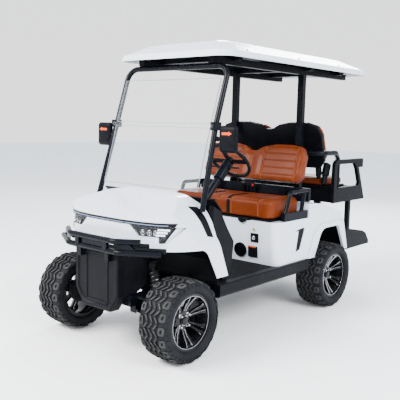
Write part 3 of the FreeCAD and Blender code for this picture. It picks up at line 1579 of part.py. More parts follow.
flip_low = rear_base_top + c.piece_gap
flip_high = flip_low + c.rear_seat_pan
node(cushion("rear_cushion_form", rear_seat_half, c.rear_seat_front, c.rear_seat_rear,
             flip_high, rear_seat_top), "rear_cushion")
flip_pan = box("flip_plate", -rear_seat_half + inset, rear_seat_half - inset,
               c.rear_seat_front + inset, c.rear_hinge_y - c.seat_hinge_radius, flip_low, flip_high)
flip_barrel = rod("flip_barrel", (-c.seat_hinge_x, c.rear_hinge_y, flip_low + c.rear_seat_pan / 2),
                  (c.seat_hinge_x, c.rear_hinge_y, flip_low + c.rear_seat_pan / 2),
                  c.seat_hinge_radius)
flip_tongue = box("flip_tongue", -c.seat_hinge_x, c.seat_hinge_x, c.rear_seat_rear - inset,
                  c.rear_hinge_y, flip_low, flip_high)
node(fuse("rear_seat_pan_form", [flip_pan, flip_tongue, flip_barrel]), "rear_seat_pan")


def side_panel():
    """Left rear armrest panel with its window and lamp pod."""
    f = c.side_front
    t = side_top
    low = rear_base_bottom
    band = c.overrun
    outer = [(f, low), (f, t), (c.side_tail, t), (c.side_tail, t - band * 2),
             (c.side_tail - band * 2, t - band * 2), (c.side_foot_rear, low)]
    window = [(f + band * 1.3, rear_base_top), (f + band * 1.3, t - band * 1.4),
              (f + band * 2, t - band), (c.side_tail - band * 4, t - band),
              (c.side_tail - band * 3, t - band * 2.2),
              (c.side_tail - band * 1.5, rear_base_top + band * 0.6),
              (c.side_tail - band * 2, rear_base_top)]
    panel = side_pad("side_panel", [outer, window], c.rear_base_half_width,
                     c.rear_base_half_width + c.side_panel_thickness)
    return rounded(panel, c.side_round, runs_along(
        SIDEWAYS, lambda middle: at(middle.y, f) and at(middle.z, t)))


node(both_sides("rear_sides", side_panel()), "rear_sides")


def footrest():
    """Rear step: a sloping deck with skirts, open below."""
    w = c.step_wall
    low = c.rail_top
    outer = side_pad("step_outer", [[(c.step_front, low), (c.step_front, c.step_front_top),
                                     (c.step_crest_y, c.step_crest),
                                     (c.step_rear_top_y, c.step_rear_top), (c.step_rear, c.step_rear_low),
                                     (c.step_rear - w, low)]], -c.step_half_width, c.step_half_width)
    inner = side_pad("step_inner", [[(c.step_front + w, low - c.overrun),
                                     (c.step_front + w, c.step_front_top - w),
                                     (c.step_crest_y - w / 2, c.step_crest - w),
                                     (c.step_rear_top_y - w, c.step_rear_top - w),
                                     (c.step_rear - w * 2, c.step_rear_low - w),
                                     (c.step_rear - w * 2, low - c.overrun)]],
                     -c.step_half_width + w, c.step_half_width - w)
    return cut("footrest_form", outer, inner)


node(footrest(), "footrest")


# Steering wheel and column

column_foot_y = c.cowl_leg_front + c.dash_wall * 2 + c.overrun * 2 + c.column_foot_gap
column_foot_z = c.cowl_hood_height - c.column_foot_drop
run_y = c.steer_centre_y - column_foot_y
run_z = c.steer_centre_z - column_foot_z
column_turn = FreeCAD.Rotation(UP, FreeCAD.Vector(0, run_y.value, run_z.value))
column_length = math.hypot(run_y.value, run_z.value)


def on_column(drop):
    """A point on the column's centre line, some way below the wheel's plane."""
    share = 1 - as_size(drop).value / column_length
    return c.column_x, column_foot_y + run_y * share, column_foot_z + run_z * share


def column():
    """Column with its shroud below the wheel and a stalk to each side."""
    shaft = rod("column_shaft", (c.column_x, column_foot_y, column_foot_z),
                on_column(c.steer_rim_radius + c.piece_gap), c.column_radius)
    shroud = rod("column_shroud", on_column(c.shroud_drop + c.shroud_length),
                 on_column(c.shroud_drop), c.shroud_radius)
    x, y, z = on_column(c.stalk_drop)
    stalks = rod("column_stalks", (x - c.stalk_reach, y, z), (x + c.stalk_reach, y, z), c.stalk_radius)
    return fuse("column_form", [shaft, shroud, stalks])


node(column(), "steering_column")


def steering_wheel():
    """Three-spoke wheel about its own Z axis."""
    radius = c.steer_diameter / 2 - c.steer_rim_radius
    ring = doc.addObject("PartDesign::Body", "steer_ring")
    turns = [math.pi * (2 * i + 1) / SIZES["steer_rim_sides"] for i in range(SIZES["steer_rim_sides"])]
    flat = sketch(ring, "steer_section", "XZ_Plane", [[
        (radius + c.steer_rim_radius * math.cos(turn), c.steer_rim_radius * math.sin(turn))
        for turn in turns]])
    turned = ring.newObject("PartDesign::Revolution", "steer_turned")
    turned.Profile = flat
    turned.ReferenceAxis = (flat, ["V_Axis"])
    turned.Angle = 360
    hub = doc.addObject("Part::Cylinder", "steer_hub")
    bind(hub, "Radius", c.steer_hub_radius)
    bind(hub, "Height", c.steer_rim_radius * 2)
    place(hub, ZERO, ZERO, -c.steer_rim_radius)
    spokes = []
    for i, angle in enumerate((0, 90, 180)):
        spoke = doc.addObject("Part::Box", "steer_spoke_%d" % i)
        bind(spoke, "Length", radius)
        bind(spoke, "Width", c.steer_spoke_width)
        bind(spoke, "Height", c.steer_spoke_thickness)
        spin = FreeCAD.Rotation(UP, -angle)
        corner = spin.multVec(FreeCAD.Vector(0, -1, 0))
        place(spoke, c.steer_spoke_width / 2 * corner.x, c.steer_spoke_width / 2 * corner.y,
              -c.steer_spoke_thickness / 2, spin)
        spokes.append(spoke)
    return fuse("steering_wheel_form", [ring, hub] + spokes)


node(steering_wheel(), "steering_wheel", c.column_x, c.steer_centre_y, c.steer_centre_z, column_turn)

pedal_y = c.floor_front + c.overrun
pedals = [box("pedal_%d" % i, x, x + c.pedal_width, pedal_y, pedal_y + c.pedal_thickness,
              c.floor_top, c.floor_top + c.pedal_height)
          for i, x in enumerate((c.column_x - c.pedal_width * 2, c.column_x + c.overrun))]
node(together("pedals", pedals), "pedals")

doc.recompute()

faults = []
for thing in doc.Objects:
    if "Invalid" in thing.State or "Error" in thing.State:
        faults.append("%s is %s" % (thing.Name, thing.getStatusString()))
for thing in cart_nodes:
    if thing.Shape.isNull() or not thing.Shape.isValid() or not thing.Shape.Solids:
        faults.append("%s has no valid solid" % thing.Label)
if faults:
    raise SystemExit("\n".join(faults))

os.makedirs("parts", exist_ok=True)
for thing in cart_nodes:
    thing.Shape.exportStep("parts/%s.step" % thing.Label)
print(len(cart_nodes), "sub-parts written")
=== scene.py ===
"""Looks of the golf cart: materials, tyres, rims, upholstery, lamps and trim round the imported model.

Metres. X points to the cart's left, the nose points to -Y, Z is up.
"""
import bmesh
import bpy
import math
from mathutils import Matrix, Vector
from mathutils.bvhtree import BVHTree


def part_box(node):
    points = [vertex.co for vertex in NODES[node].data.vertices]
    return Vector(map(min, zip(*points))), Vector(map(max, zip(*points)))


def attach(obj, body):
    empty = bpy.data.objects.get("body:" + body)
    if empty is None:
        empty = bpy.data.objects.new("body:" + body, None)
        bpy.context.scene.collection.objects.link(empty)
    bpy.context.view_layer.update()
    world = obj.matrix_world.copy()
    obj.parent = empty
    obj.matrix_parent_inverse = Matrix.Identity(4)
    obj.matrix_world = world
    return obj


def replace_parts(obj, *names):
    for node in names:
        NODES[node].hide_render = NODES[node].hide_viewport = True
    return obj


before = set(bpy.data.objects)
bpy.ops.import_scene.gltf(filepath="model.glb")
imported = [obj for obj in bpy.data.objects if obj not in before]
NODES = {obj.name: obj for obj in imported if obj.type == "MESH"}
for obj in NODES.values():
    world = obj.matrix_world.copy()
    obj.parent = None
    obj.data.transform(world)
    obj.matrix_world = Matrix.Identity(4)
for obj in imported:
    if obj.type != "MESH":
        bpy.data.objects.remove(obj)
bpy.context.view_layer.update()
LEFT = Vector((1, 0, 0))
REAR = Vector((0, 1, 0))
UP = Vector((0, 0, 1))


# Materials

DARK_GLOSS = 0.05
DRIFT = (0.3, 0.7)
SMEAR = (0.35, 0.75)


def shader(name):
    """A new node material with its tree and its surface node."""
    material = bpy.data.materials.new(name)
    material.use_nodes = True
    tree = material.node_tree
    return material, tree, tree.nodes["Principled BSDF"]


def settle(bsdf, **values):
    """Set plain values on the surface node's own sockets."""
    for socket, value in values.items():
        bsdf.inputs[socket.replace("_", " ")].default_value = value


def pattern(tree, kind, **values):
    """A pattern node in coordinates that stay on the piece."""
    node = tree.nodes.new(kind)
    settle(node, **values)
    tree.links.new(tree.nodes.new("ShaderNodeTexCoord").outputs["Object"], node.inputs["Vector"])
    return node


def noise(tree, scale, detail=3.0):
    """A noise value over the piece."""
    return pattern(tree, "ShaderNodeTexNoise", Scale=scale, Detail=detail, Roughness=0.55).outputs["Fac"]


def cells(tree, scale):
    """A cell pattern over the piece, for hide and moulded grain."""
    return pattern(tree, "ShaderNodeTexVoronoi", Scale=scale).outputs["Distance"]


def waves(tree, scale):
    """Straight ribs across the piece."""
    return pattern(tree, "ShaderNodeTexWave", Scale=scale).outputs["Fac"]


def grey(value):
    """A grey as a colour."""
    return (value, value, value, 1)


def ramp(tree, value, places, colours):
    """Colours spread over a value."""
    node = tree.nodes.new("ShaderNodeValToRGB")
    for element, place, colour in zip(node.color_ramp.elements, places, colours):
        element.position = place
        element.color = colour
    tree.links.new(value, node.inputs[0])
    return node.outputs[0]


def bump(tree, bsdf, height, strength, distance):
    """Relief on top of whatever relief the surface already has."""
    node = tree.nodes.new("ShaderNodeBump")
    settle(node, Strength=strength, Distance=distance)
    tree.links.new(height, node.inputs["Height"])
    if bsdf.inputs["Normal"].links:
        tree.links.new(bsdf.inputs["Normal"].links[0].from_socket, node.inputs["Normal"])
    tree.links.new(node.outputs["Normal"], bsdf.inputs["Normal"])


def tint(colour, factor):
    """A colour made lighter or darker."""
    return tuple(min(1, v * factor) for v in colour) + (1,)


def coated(name, colour, rough, spread, scale, rough_spread=0.06, reliefs=(), **values):
    """A material whose colour and gloss drift. A relief is a pattern, its numbers, strength and depth."""
    material, tree, bsdf = shader(name)
    tree.links.new(ramp(tree, noise(tree, scale), DRIFT, (tint(colour, 1 - spread), tint(colour, 1 + spread))),
                   bsdf.inputs["Base Color"])
    low = max(0.02, rough - rough_spread)
    tree.links.new(ramp(tree, noise(tree, scale * 4), DRIFT, (grey(low), grey(rough + rough_spread))),
                   bsdf.inputs["Roughness"])
    settle(bsdf, **values)
    for made, numbers, strength, depth in reliefs:
        bump(tree, bsdf, made(tree, *numbers), strength, depth)
    return material


def dark(*numbers, **values):
    """A near-black material with a low sheen."""
    return coated(*numbers, Specular_IOR_Level=DARK_GLOSS, **values)


def plated(name, colour, rough):
    """Zinc-plated and polished metal, also mirror glass."""
    return coated(name, colour, rough, 0.12, 60.0, 0.08, ((noise, (500,), 0.12, 0.0003),), Metallic=1.0)


def leather(name, colour):
    """Seat hide: pebble grain, soft gloss, colour that drifts."""
    return coated(name, colour, 0.34, 0.14, 5.0, 0.05,
                  ((cells, (420,), 0.30, 0.0006), (noise, (26, 5.0), 0.22, 0.002)), Specular_IOR_Level=0.09)


def glow(name, colour, strength):
    """A lit or light-diffusing lamp part."""
    return coated(name, colour, 0.25, 0.04, 80.0, 0.05, Emission_Strength=strength,
                  Emission_Color=colour + (1,))


def clear(name, colour, scale, detail, low, high, ior, alpha):
    """A clear sheet with faint smears."""
    material, tree, bsdf = shader(name)
    tree.links.new(ramp(tree, noise(tree, scale, detail), SMEAR, (grey(low), grey(high))),
                   bsdf.inputs["Roughness"])
    settle(bsdf, Base_Color=colour + (1,), IOR=ior, Alpha=alpha)
    material.surface_render_method = "BLENDED"
    return material


# Body panels in cool white, with a faint orange peel.
WHITE = coated("white_paint", (0.62, 0.66, 0.735), 0.24, 0.012, 2.0, 0.03,
               ((noise, (320, 1.0), 0.05, 0.0006),), Coat_Weight=0.6, Coat_Roughness=0.06)
# Plastic with a moulded grain, powder-coated steel whose blue tint is a painted reflection of the sky, and the
# gloss plastic of the lamps.
BLACK = dark("moulded_black", (0.0030, 0.0032, 0.0045), 0.42, 0.25, 9.0, 0.06,
             ((cells, (900,), 0.35, 0.0004), (noise, (60,), 0.08, 0.001)))
# The steel's blue-tinted base colour is a painted reflection of the sky on the black paint.
SKY_TINTED_STEEL = dark("powder_black", (0.0026, 0.0031, 0.0052), 0.26, 0.2, 7.0, 0.05,
             ((noise, (700, 2.0), 0.08, 0.0004),), Coat_Weight=0.05, Coat_Roughness=0.08)
PIANO = dark("gloss_black", (0.003, 0.003, 0.004), 0.12, 0.2, 9.0, 0.03,
             Coat_Weight=0.12, Coat_Roughness=0.05)
# Rubber of the sidewalls and grooves, of the dusty tread, and of the ribbed mat.
RUBBER = dark("tyre_rubber", (0.009, 0.0095, 0.011), 0.55, 0.3, 12.0, 0.08,
              ((noise, (240, 4.0), 0.25, 0.0008),))
TREAD = dark("tread_rubber", (0.030, 0.030, 0.030), 0.82, 0.35, 30.0, 0.08,
             ((noise, (420, 5.0), 0.45, 0.0008),))
MAT = dark("floor_rubber", (0.006, 0.006, 0.0065), 0.72, 0.3, 12.0, 0.08,
           ((waves, (24,), 0.9, 0.003), (noise, (300,), 0.3, 0.0006)))
# Enamel and turned edges of the rims, small hardware, dusty cast parts, spring enamel, battery casing.
ALLOY = dark("gloss_alloy", (0.004, 0.004, 0.005), 0.10, 0.2, 9.0, 0.03, Coat_Weight=0.3, Coat_Roughness=0.04)
BRIGHT = coated("machined_alloy", (0.55, 0.55, 0.57), 0.20, 0.05, 40.0, 0.06,
                ((noise, (900, 1.0), 0.12, 0.0003),), Metallic=1.0, Anisotropic=0.5)
PLATED = plated("plated", (0.62, 0.62, 0.64), 0.25)
MIRROR = plated("mirror_glass", (0.86, 0.88, 0.90), 0.03)
CAST = dark("cast_metal", (0.010, 0.010, 0.011), 0.50, 0.35, 25.0, 0.12,
            ((noise, (180, 4.0), 0.5, 0.0012),), Metallic=0.2)
SPRING = coated("spring_enamel", (0.012, 0.012, 0.013), 0.22, 0.2, 30.0, 0.05, Specular_IOR_Level=0.5)
CASING = coated("painted_casing", (0.012, 0.0125, 0.015), 0.5, 0.2, 8.0, 0.08,
                ((noise, (400,), 0.2, 0.0005),))
# Brown seat hide; piping whose lighter colour is a painted highlight; dark lines of painted shade in the
# channels; thread, black vinyl, belt webbing.
HIDE = leather("leather", (0.100, 0.0175, 0.0034))
# Piping: a real welt cord, but its lighter colour is a painted highlight.
WELT_HIGHLIGHT = leather("welt_hide_painted_highlight", (0.20, 0.058, 0.018))
# Channel lines: far darker than the hide, as painted shade in the grooves.
CHANNEL_SHADE = leather("seam_shade", (0.022, 0.0042, 0.0012))
STITCH = coated("stitch_thread", (0.27, 0.10, 0.045), 0.6, 0.1, 90.0)
VINYL = dark("vinyl_black", (0.006, 0.006, 0.007), 0.46, 0.25, 14.0, 0.06, ((cells, (520,), 0.35, 0.0006),))
WEB = dark("webbing", (0.004, 0.004, 0.005), 0.72, 0.25, 40.0, 0.06, ((waves, (260,), 0.4, 0.0005),))
# Clear screen and its polished edges, lamp cover.
CLEAR = clear("clear_sheet", (0.62, 0.68, 0.74), 9.0, 5.0, 0.01, 0.06, 1.49, 0.035)
PANE_EDGE = coated("pane_edge", (0.16, 0.18, 0.20), 0.2, 0.1, 30.0, 0.05)
LENS = clear("lens_clear", (0.35, 0.38, 0.42), 20.0, 3.0, 0.02, 0.05, 1.5, 0.05)
# Insides of the lamps and small lights.
BOWL = dark("lamp_bowl", (0.006, 0.0062, 0.007), 0.22, 0.5, 60.0, 0.08, Metallic=0.3)
REFLECTOR = plated("lamp_reflector", (0.20, 0.20, 0.21), 0.18)
STRIP_GLOW = glow("lamp_strip", (0.12, 0.17, 0.27), 0.0)
WHITE_GLOW = glow("lamp_white", (0.86, 0.90, 0.95), 0.35)
AMBER = glow("lamp_amber", (0.50, 0.055, 0.001), 0.05)
RED = glow("lamp_red", (0.55, 0.01, 0.01), 0.25)
GREEN = glow("lamp_green", (0.02, 0.35, 0.08), 0.3)


# Camera, lights and floor

CAMERA_PLACE = Vector((3.181, -4.185, 1.558))
CAMERA_YAW = math.radians(40.31)
CAMERA_PITCH = math.radians(-7.16)
CAMERA_ROLL = math.radians(1.34)
CAMERA_LENS = 56.655
CAMERA_REACH = 100
FLOOR_REACH = 30.0
SKY_PLACES = (0.02, 0.75)
SKY_COLOURS = ((1.0, 1.0, 1.0, 1), (0.78, 0.88, 1.0, 1))
SKY_STRENGTH = 2.0
LIGHT_SHAPE = 0.6
# Name, place, target, size, power and colour.
LIGHTS = (("key", (-2.2, -6.0, 5.2), (0, -0.3, 0.8), 4.0, 1500, (1.0, 0.985, 0.96)),
          ("side", (6.0, -1.5, 4.6), (0, 0.2, 0.8), 4.0, 800, (0.97, 0.98, 1.0)),
          ("rear", (-3.0, 6.0, 4.5), (0, 0.3, 1.0), 3.5, 450, (0.95, 0.97, 1.0)))


def placed(name, data):
    """A new object in the scene."""
    thing = bpy.data.objects.new(name, data)
    bpy.context.scene.collection.objects.link(thing)
    return thing


def camera():
    """The photograph's viewpoint."""
    forward = Vector((-math.sin(CAMERA_YAW) * math.cos(CAMERA_PITCH),
                      math.cos(CAMERA_YAW) * math.cos(CAMERA_PITCH), math.sin(CAMERA_PITCH)))
    level = Vector((math.cos(CAMERA_YAW), math.sin(CAMERA_YAW), 0))
    above = level.cross(forward)
    right = level * math.cos(CAMERA_ROLL) + above * math.sin(CAMERA_ROLL)
    up = above * math.cos(CAMERA_ROLL) - level * math.sin(CAMERA_ROLL)
    eye = placed("camera", bpy.data.cameras.new("camera"))
    turn = Matrix((right, up, -forward)).transposed()
    eye.matrix_world = Matrix.Translation(CAMERA_PLACE) @ turn.to_4x4()
    eye.data.lens = CAMERA_LENS
    eye.data.clip_end = CAMERA_REACH
    bpy.context.scene.camera = eye


def area_light(name, place, target, size, power, colour):
    """A soft rectangular light aimed at a point."""
    light = placed(name, bpy.data.lights.new(name, "AREA"))
    light.data.shape = "RECTANGLE"
    light.data.size = size
    light.data.size_y = size * LIGHT_SHAPE
    light.data.energy = power
    light.data.color = colour
    light.location = place
    light.rotation_euler = (Vector(target) - Vector(place)).to_track_quat("-Z", "Y").to_euler()


def studio():
    """Pale floor, sky-tinted surroundings and three soft lights."""
    world = bpy.data.worlds.new("studio")
    bpy.context.scene.world = world
    world.use_nodes = True
    tree = world.node_tree
    sky = tree.nodes["Background"]
    coords = tree.nodes.new("ShaderNodeTexCoord")
    split = tree.nodes.new("ShaderNodeSeparateXYZ")
    tree.links.new(coords.outputs["Generated"], split.inputs[0])
    tree.links.new(ramp(tree, split.outputs["Z"], SKY_PLACES, SKY_COLOURS), sky.inputs["Color"])
    sky.inputs["Strength"].default_value = SKY_STRENGTH
    for row in LIGHTS:
        area_light(*row)
    mesh = bpy.data.meshes.new("floor")
    r = FLOOR_REACH
    mesh.from_pydata([(-r, -r, 0), (r, -r, 0), (r, r, 0), (-r, r, 0)], [], [(0, 1, 2, 3)])
    floor = placed("floor", mesh)
    material, tree, bsdf = shader("floor_paper")
    settle(bsdf, Base_Color=grey(0.95), Roughness=0.9)
    mesh.materials.append(material)


studio()
camera()


# Mesh helpers

SHARP_ANGLE = math.radians(38)
# Where rays start: beside, over and well outside the cart.
BESIDE = 1.2
OVER = 1.4
OUTSIDE = 3.0
TREES = {}


def piece(name, verts, faces, materials, body, picks):
    """A mesh piece that rides on a body. picks gives each face's material, by index."""
    mesh = bpy.data.meshes.new(name)
    mesh.from_pydata([tuple(v) for v in verts], [], faces)
    thing = placed(name, mesh)
    dress(thing, materials, picks)
    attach(thing, body)
    return thing


def dress(thing, materials, picks=()):
    """Give a mesh its materials and crisp smooth shading."""
    mesh = thing.data
    mesh.materials.clear()
    for material in materials:
        mesh.materials.append(material)
    for face, pick in zip(mesh.polygons, picks):
        face.material_index = pick
    for face in mesh.polygons:
        face.use_smooth = True
    mesh.set_sharp_from_angle(angle=SHARP_ANGLE)
    mesh.update()


def circle(centre, across, up, radius, sides):
    """Points round a centre."""
    turns = [2 * math.pi * k / sides for k in range(sides)]
    return [centre + (across * math.cos(a) + up * math.sin(a)) * radius for a in turns]


def bands(count, rows, closed=False):
    """Faces that join rows of points, each row a closed loop."""
    faces = []
    for i in range(rows if closed else rows - 1):
        a = i * count
        b = (i + 1) % rows * count
        faces += [(a + j, a + (j + 1) % count, b + (j + 1) % count, b + j) for j in range(count)]
    return faces


class Heap:
    """Many small solids gathered into one mesh."""

    def __init__(self):
        self.verts = []
        self.faces = []
        self.picks = []

    def add(self, verts, faces, picks, flip=False):
        """One more solid, with each face's material."""
        base = len(self.verts)
        self.verts += [Vector(v) for v in verts]
        faces = [tuple(base + i for i in face) for face in faces]
        self.faces += [tuple(reversed(face)) if flip else face for face in faces]
        self.picks += picks

    def ring(self, loops, pick=0, closed=False, capped=True, flip=False, stripes=()):
        """Loops of equal length joined into a skin. stripes are the columns that take material 1."""
        count = len(loops[0])
        faces = bands(count, len(loops), closed)
        picks = [1 if k % count in stripes else pick for k in range(len(faces))]
        if capped and not closed:
            faces.append(tuple(reversed(range(count))))
            faces.append(tuple(range((len(loops) - 1) * count, len(loops) * count)))
            picks += [pick, pick]
        self.add([v for loop in loops for v in loop], faces, picks, flip)

    def stack(self, loops, picks, flip=False):
        """Loops joined upwards, open at the first and capped at the last, a material for each band."""
        count = len(loops[0])
        faces = bands(count, len(loops))
        faces.append(tuple(range((len(loops) - 1) * count, len(loops) * count)))
        spread = [pick for pick in picks[:-1] for _ in range(count)]
        self.add([v for loop in loops for v in loop], faces, spread + [picks[-1]], flip)

    def turned(self, centre, axis, profile, pick=0, sides=32, closed=False):
        """A lathe form: (distance along the axis, radius) pairs about a centre."""
        axis = Vector(axis).normalized()
        across = axis.orthogonal().normalized()
        up = axis.cross(across)
        self.ring([circle(Vector(centre) + axis * along, across, up, r, sides) for along, r in profile],
                  pick, closed, not closed)

    def rod(self, start, end, radius, pick=0, sides=12):
        """A round bar."""
        length = (Vector(end) - Vector(start)).length
        self.turned(start, Vector(end) - Vector(start), ((0.0, radius), (length, radius)), pick, sides)

    def block(self, low, high, bevel=0.0, pick=0):
        """A box with chamfered edges."""
        (x0, y0, z0), (x1, y1, z1) = low, high
        b = bevel
        loops = []
        for z, inset in ((z0, b), (z0 + b, 0), (z1 - b, 0), (z1, b)):
            loops.append([Vector((x, y, z)) for x, y in (
                (x0 + inset + b, y0 + inset), (x1 - inset - b, y0 + inset), (x1 - inset, y0 + inset + b),
                (x1 - inset, y1 - inset - b), (x1 - inset - b, y1 - inset), (x0 + inset + b, y1 - inset),
                (x0 + inset, y1 - inset - b), (x0 + inset, y0 + inset + b))])
        self.ring(loops, pick)

    def made(self, name, materials, body, slot):
        """The gathered piece."""
        return piece(name, self.verts, self.faces, materials, body, self.picks)


def tube_loops(points, radius, sides):
    """Loops of a tube that follows points without twisting."""
    loops = []
    normal = (points[1] - points[0]).orthogonal().normalized()
    for i, point in enumerate(points):
        axis = (points[min(i + 1, len(points) - 1)] - points[max(i - 1, 0)]).normalized()
        normal = (normal - axis * normal.dot(axis)).normalized()
        loops.append(circle(point, normal, axis.cross(normal), radius, sides))
    return loops


def tree_of(mesh):
    """A mesh's surface for rays."""
    return BVHTree.FromPolygons([v.co.copy() for v in mesh.vertices],
                                [tuple(p.vertices) for p in mesh.polygons])


def hit(node, start, heading):
    """Where a ray from a point meets a node, and the surface's normal there."""
    if node not in TREES:
        TREES[node] = tree_of(NODES[node].data)
    return TREES[node].ray_cast(Vector(start), heading)[:2]


def trace(thing, points, heading):
    """Points dropped onto a piece's surface along one direction, with the normals there."""
    tree = tree_of(thing.data)
    found = [tree.ray_cast(Vector(point), heading)[:2] for point in points]
    return [pair for pair in found if pair[0] is not None]


def laid(heap, pairs, lift, sink, pick=0):
    """A thin strip lying on a surface, from pairs of places with their normals."""
    if len(pairs) > 1:
        heap.ring([[a - n * sink, a + n * lift, b + m * lift, b - m * sink]
                   for (a, n), (b, m) in pairs], pick)


def ribbon(heap, node, path, heading, lift, sink=0.002):
    """A thin strip laid on a node. The path holds pairs of points, dropped on the node along a heading."""
    found = [[hit(node, point, heading) for point in pair] for pair in path]
    laid(heap, [pair for pair in found if all(place is not None for place, _ in pair)], lift, sink)


def folded(heap, edges, depth):
    """A sheet of even thickness, from the two ends of each fold line."""
    depth = Vector(depth)
    heap.ring([[Vector(a), Vector(b), Vector(b) + depth, Vector(a) + depth] for a, b in edges])


def plate(heap, outline, stations, pick=0):
    """An outline of (across, up) drawn through stations from front to rear."""
    heap.ring([[Vector((x, y, z)) for x, z in outline] for y in stations], pick)


def lines(start, end, count):
    """Evenly spaced points between two, both ends included."""
    start, end = Vector(start), Vector(end)
    return [start.lerp(end, k / (count - 1)) for k in range(count)]


def inset_outline(outline, distance):
    """A convex outline of (across, up), counter-clockwise, drawn in by a distance."""
    points = [Vector(p) for p in outline]
    found = []
    for i, point in enumerate(points):
        before = (point - points[i - 1]).normalized()
        after = (points[(i + 1) % len(points)] - point).normalized()
        lean = Vector((-before.y - after.y, before.x + after.x)).normalized()
        found.append(point + lean * distance / max(0.3, lean.dot(Vector((-before.y, before.x)))))
    return found


def rounded_outline(x0, x1, z0, z1, radius, steps=6):
    """A rounded rectangle, counter-clockwise."""
    corners = ((x1 - radius, z0 + radius, -90), (x1 - radius, z1 - radius, 0), (x0 + radius, z1 - radius, 90),
               (x0 + radius, z0 + radius, 180))
    points = []
    for x, z, start in corners:
        for k in range(steps + 1):
            a = math.radians(start + 90 * k / steps)
            points.append((x + radius * math.cos(a), z + radius * math.sin(a)))
    return points


def from_form(name, form, materials):
    """A chassis piece from an edited mesh whose faces carry their material's index."""
    mesh = bpy.data.meshes.new(name)
    form.to_mesh(mesh)
    thing = placed(name, mesh)
    dress(thing, materials, [face.material_index for face in mesh.polygons])
    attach(thing, "chassis")
    return thing


# Wheels

TYRE_OUTER = 0.275
PITCHES = 20
TYRE_SIDES = 120
# Half section of the carcass: distance from the middle plane and radius.
CARCASS = ((0.0, 0.2650), (0.040, 0.2646), (0.070, 0.2632), (0.094, 0.2600), (0.106, 0.2540),
           (0.1135, 0.2440), (0.1180, 0.2310), (0.1190, 0.2200), (0.1178, 0.2110), (0.1148, 0.2060),
           (0.1152, 0.2030), (0.1128, 0.2000), (0.1080, 0.1960), (0.1035, 0.1915), (0.1000, 0.1902),
           (0.0935, 0.1900))
BEAD_HALF = 0.0935
BEAD_BORE = 0.181
CROWN_HALF = 0.112
CROWN_DROP = 0.0105
CROWN_POWER = 3.2
# Raised blocks: (depth below the tread's face, how far the outline draws in).
BLOCK_ROWS = ((0.012, -0.001), (0.0016, 0.0), (0.0, 0.0016))
BAR_ROWS = (-0.040, 0.0, 0.040)
BAR_LONG = 0.0185
BAR_WIDE = 0.0072
BAR_LEAN = 0.0135
# Shoulder block: outlines of (along, across), then rows of outline, share, middle and depth.
LUG_OUTER = ((-0.027, 0.066), (-0.012, 0.062), (0.024, 0.070), (0.028, 0.104), (0.018, 0.1115),
             (-0.020, 0.1115), (-0.029, 0.100))
LUG_INNER = ((-0.012, 0.082), (-0.008, 0.080), (0.010, 0.082), (0.015, 0.093), (0.014, 0.098),
             (-0.006, 0.0955), (-0.012, 0.090))
LUG_ROWS = ((LUG_OUTER, 1.0, 0.088, 0.016), (LUG_OUTER, 1.0, 0.088, 0.0016), (LUG_OUTER, 0.955, 0.088, 0.0),
            (LUG_INNER, 1.0, 0.090, 0.0), (LUG_INNER, 0.85, 0.090, 0.006))
# Sidewall ribs: angle from the block, lowest and highest radius.
SIDE_RIBS = ((0.0, 0.232, 0.262), (0.157, 0.242, 0.259))
RIB_SHOULDER = 0.004
RIB_FOOT = 0.010
RIB_TOP_SHARE = 0.86


def wheel_point(centre, x, radius, angle):
    """A point of a wheel from its section and its angle."""
    return Vector((centre.x + x, centre.y + radius * math.sin(angle), centre.z + radius * math.cos(angle)))


def tread_point(centre, along, across, depth, angle):
    """A point at a depth below the crowned face of the tread."""
    share = min(1.0, abs(across) / CROWN_HALF)
    radius = TYRE_OUTER - CROWN_DROP * share ** CROWN_POWER - depth
    return wheel_point(centre, across, radius, angle + along / TYRE_OUTER)


def slanted_bar(heap, centre, angle, across, slope):
    """One narrow raised bar of the herringbone rows."""
    lean = BAR_LEAN * slope
    outline = [Vector(p) for p in ((-BAR_LONG, across - lean - BAR_WIDE), (-BAR_LONG, across - lean + BAR_WIDE),
                                   (BAR_LONG, across + lean + BAR_WIDE), (BAR_LONG, across + lean - BAR_WIDE))]
    middle = sum(outline, Vector((0, 0))) / len(outline)
    rows = []
    for depth, shrink in BLOCK_ROWS:
        drawn = [p + (middle - p).normalized() * shrink for p in outline]
        rows.append([tread_point(centre, p.x, p.y, depth, angle) for p in drawn])
    heap.stack(rows, (0, 1, 1))


def shoulder_lug(heap, centre, angle, side):
    """A shoulder block with a triangular hollow, and the ribs below it on the sidewall."""
    rows = [[tread_point(centre, s * share, (middle + (x - middle) * share) * side, depth, angle)
             for s, x in outline] for outline, share, middle, depth in LUG_ROWS]
    heap.stack(rows, (0, 1, 1, 0, 0), side < 0)
    for turn, low, high in SIDE_RIBS:
        side_rib(heap, centre, angle + turn, side, low, high)


def side_rib(heap, centre, angle, side, low, high):
    """A raised rib on the shoulder, running down the sidewall."""
    points = []
    for radius, x, half in ((high, 0.1050, 0.021), (high - RIB_SHOULDER, 0.1150, 0.022),
                            ((low + high) / 2, 0.1187, 0.018), (low, 0.1192, 0.011)):
        for inset, share in ((RIB_FOOT, -1), (0.0, -RIB_TOP_SHARE), (0.0, RIB_TOP_SHARE), (RIB_FOOT, 1)):
            points.append(wheel_point(centre, (x - inset) * side, radius, angle + half * share / radius))
    faces = [(a, a + 4, a + 5, a + 1) for a in (i * 4 + j for i in range(3) for j in range(3))]
    faces.append((12, 13, 14, 15))
    heap.add(points, faces, [0] * len(faces), side < 0)


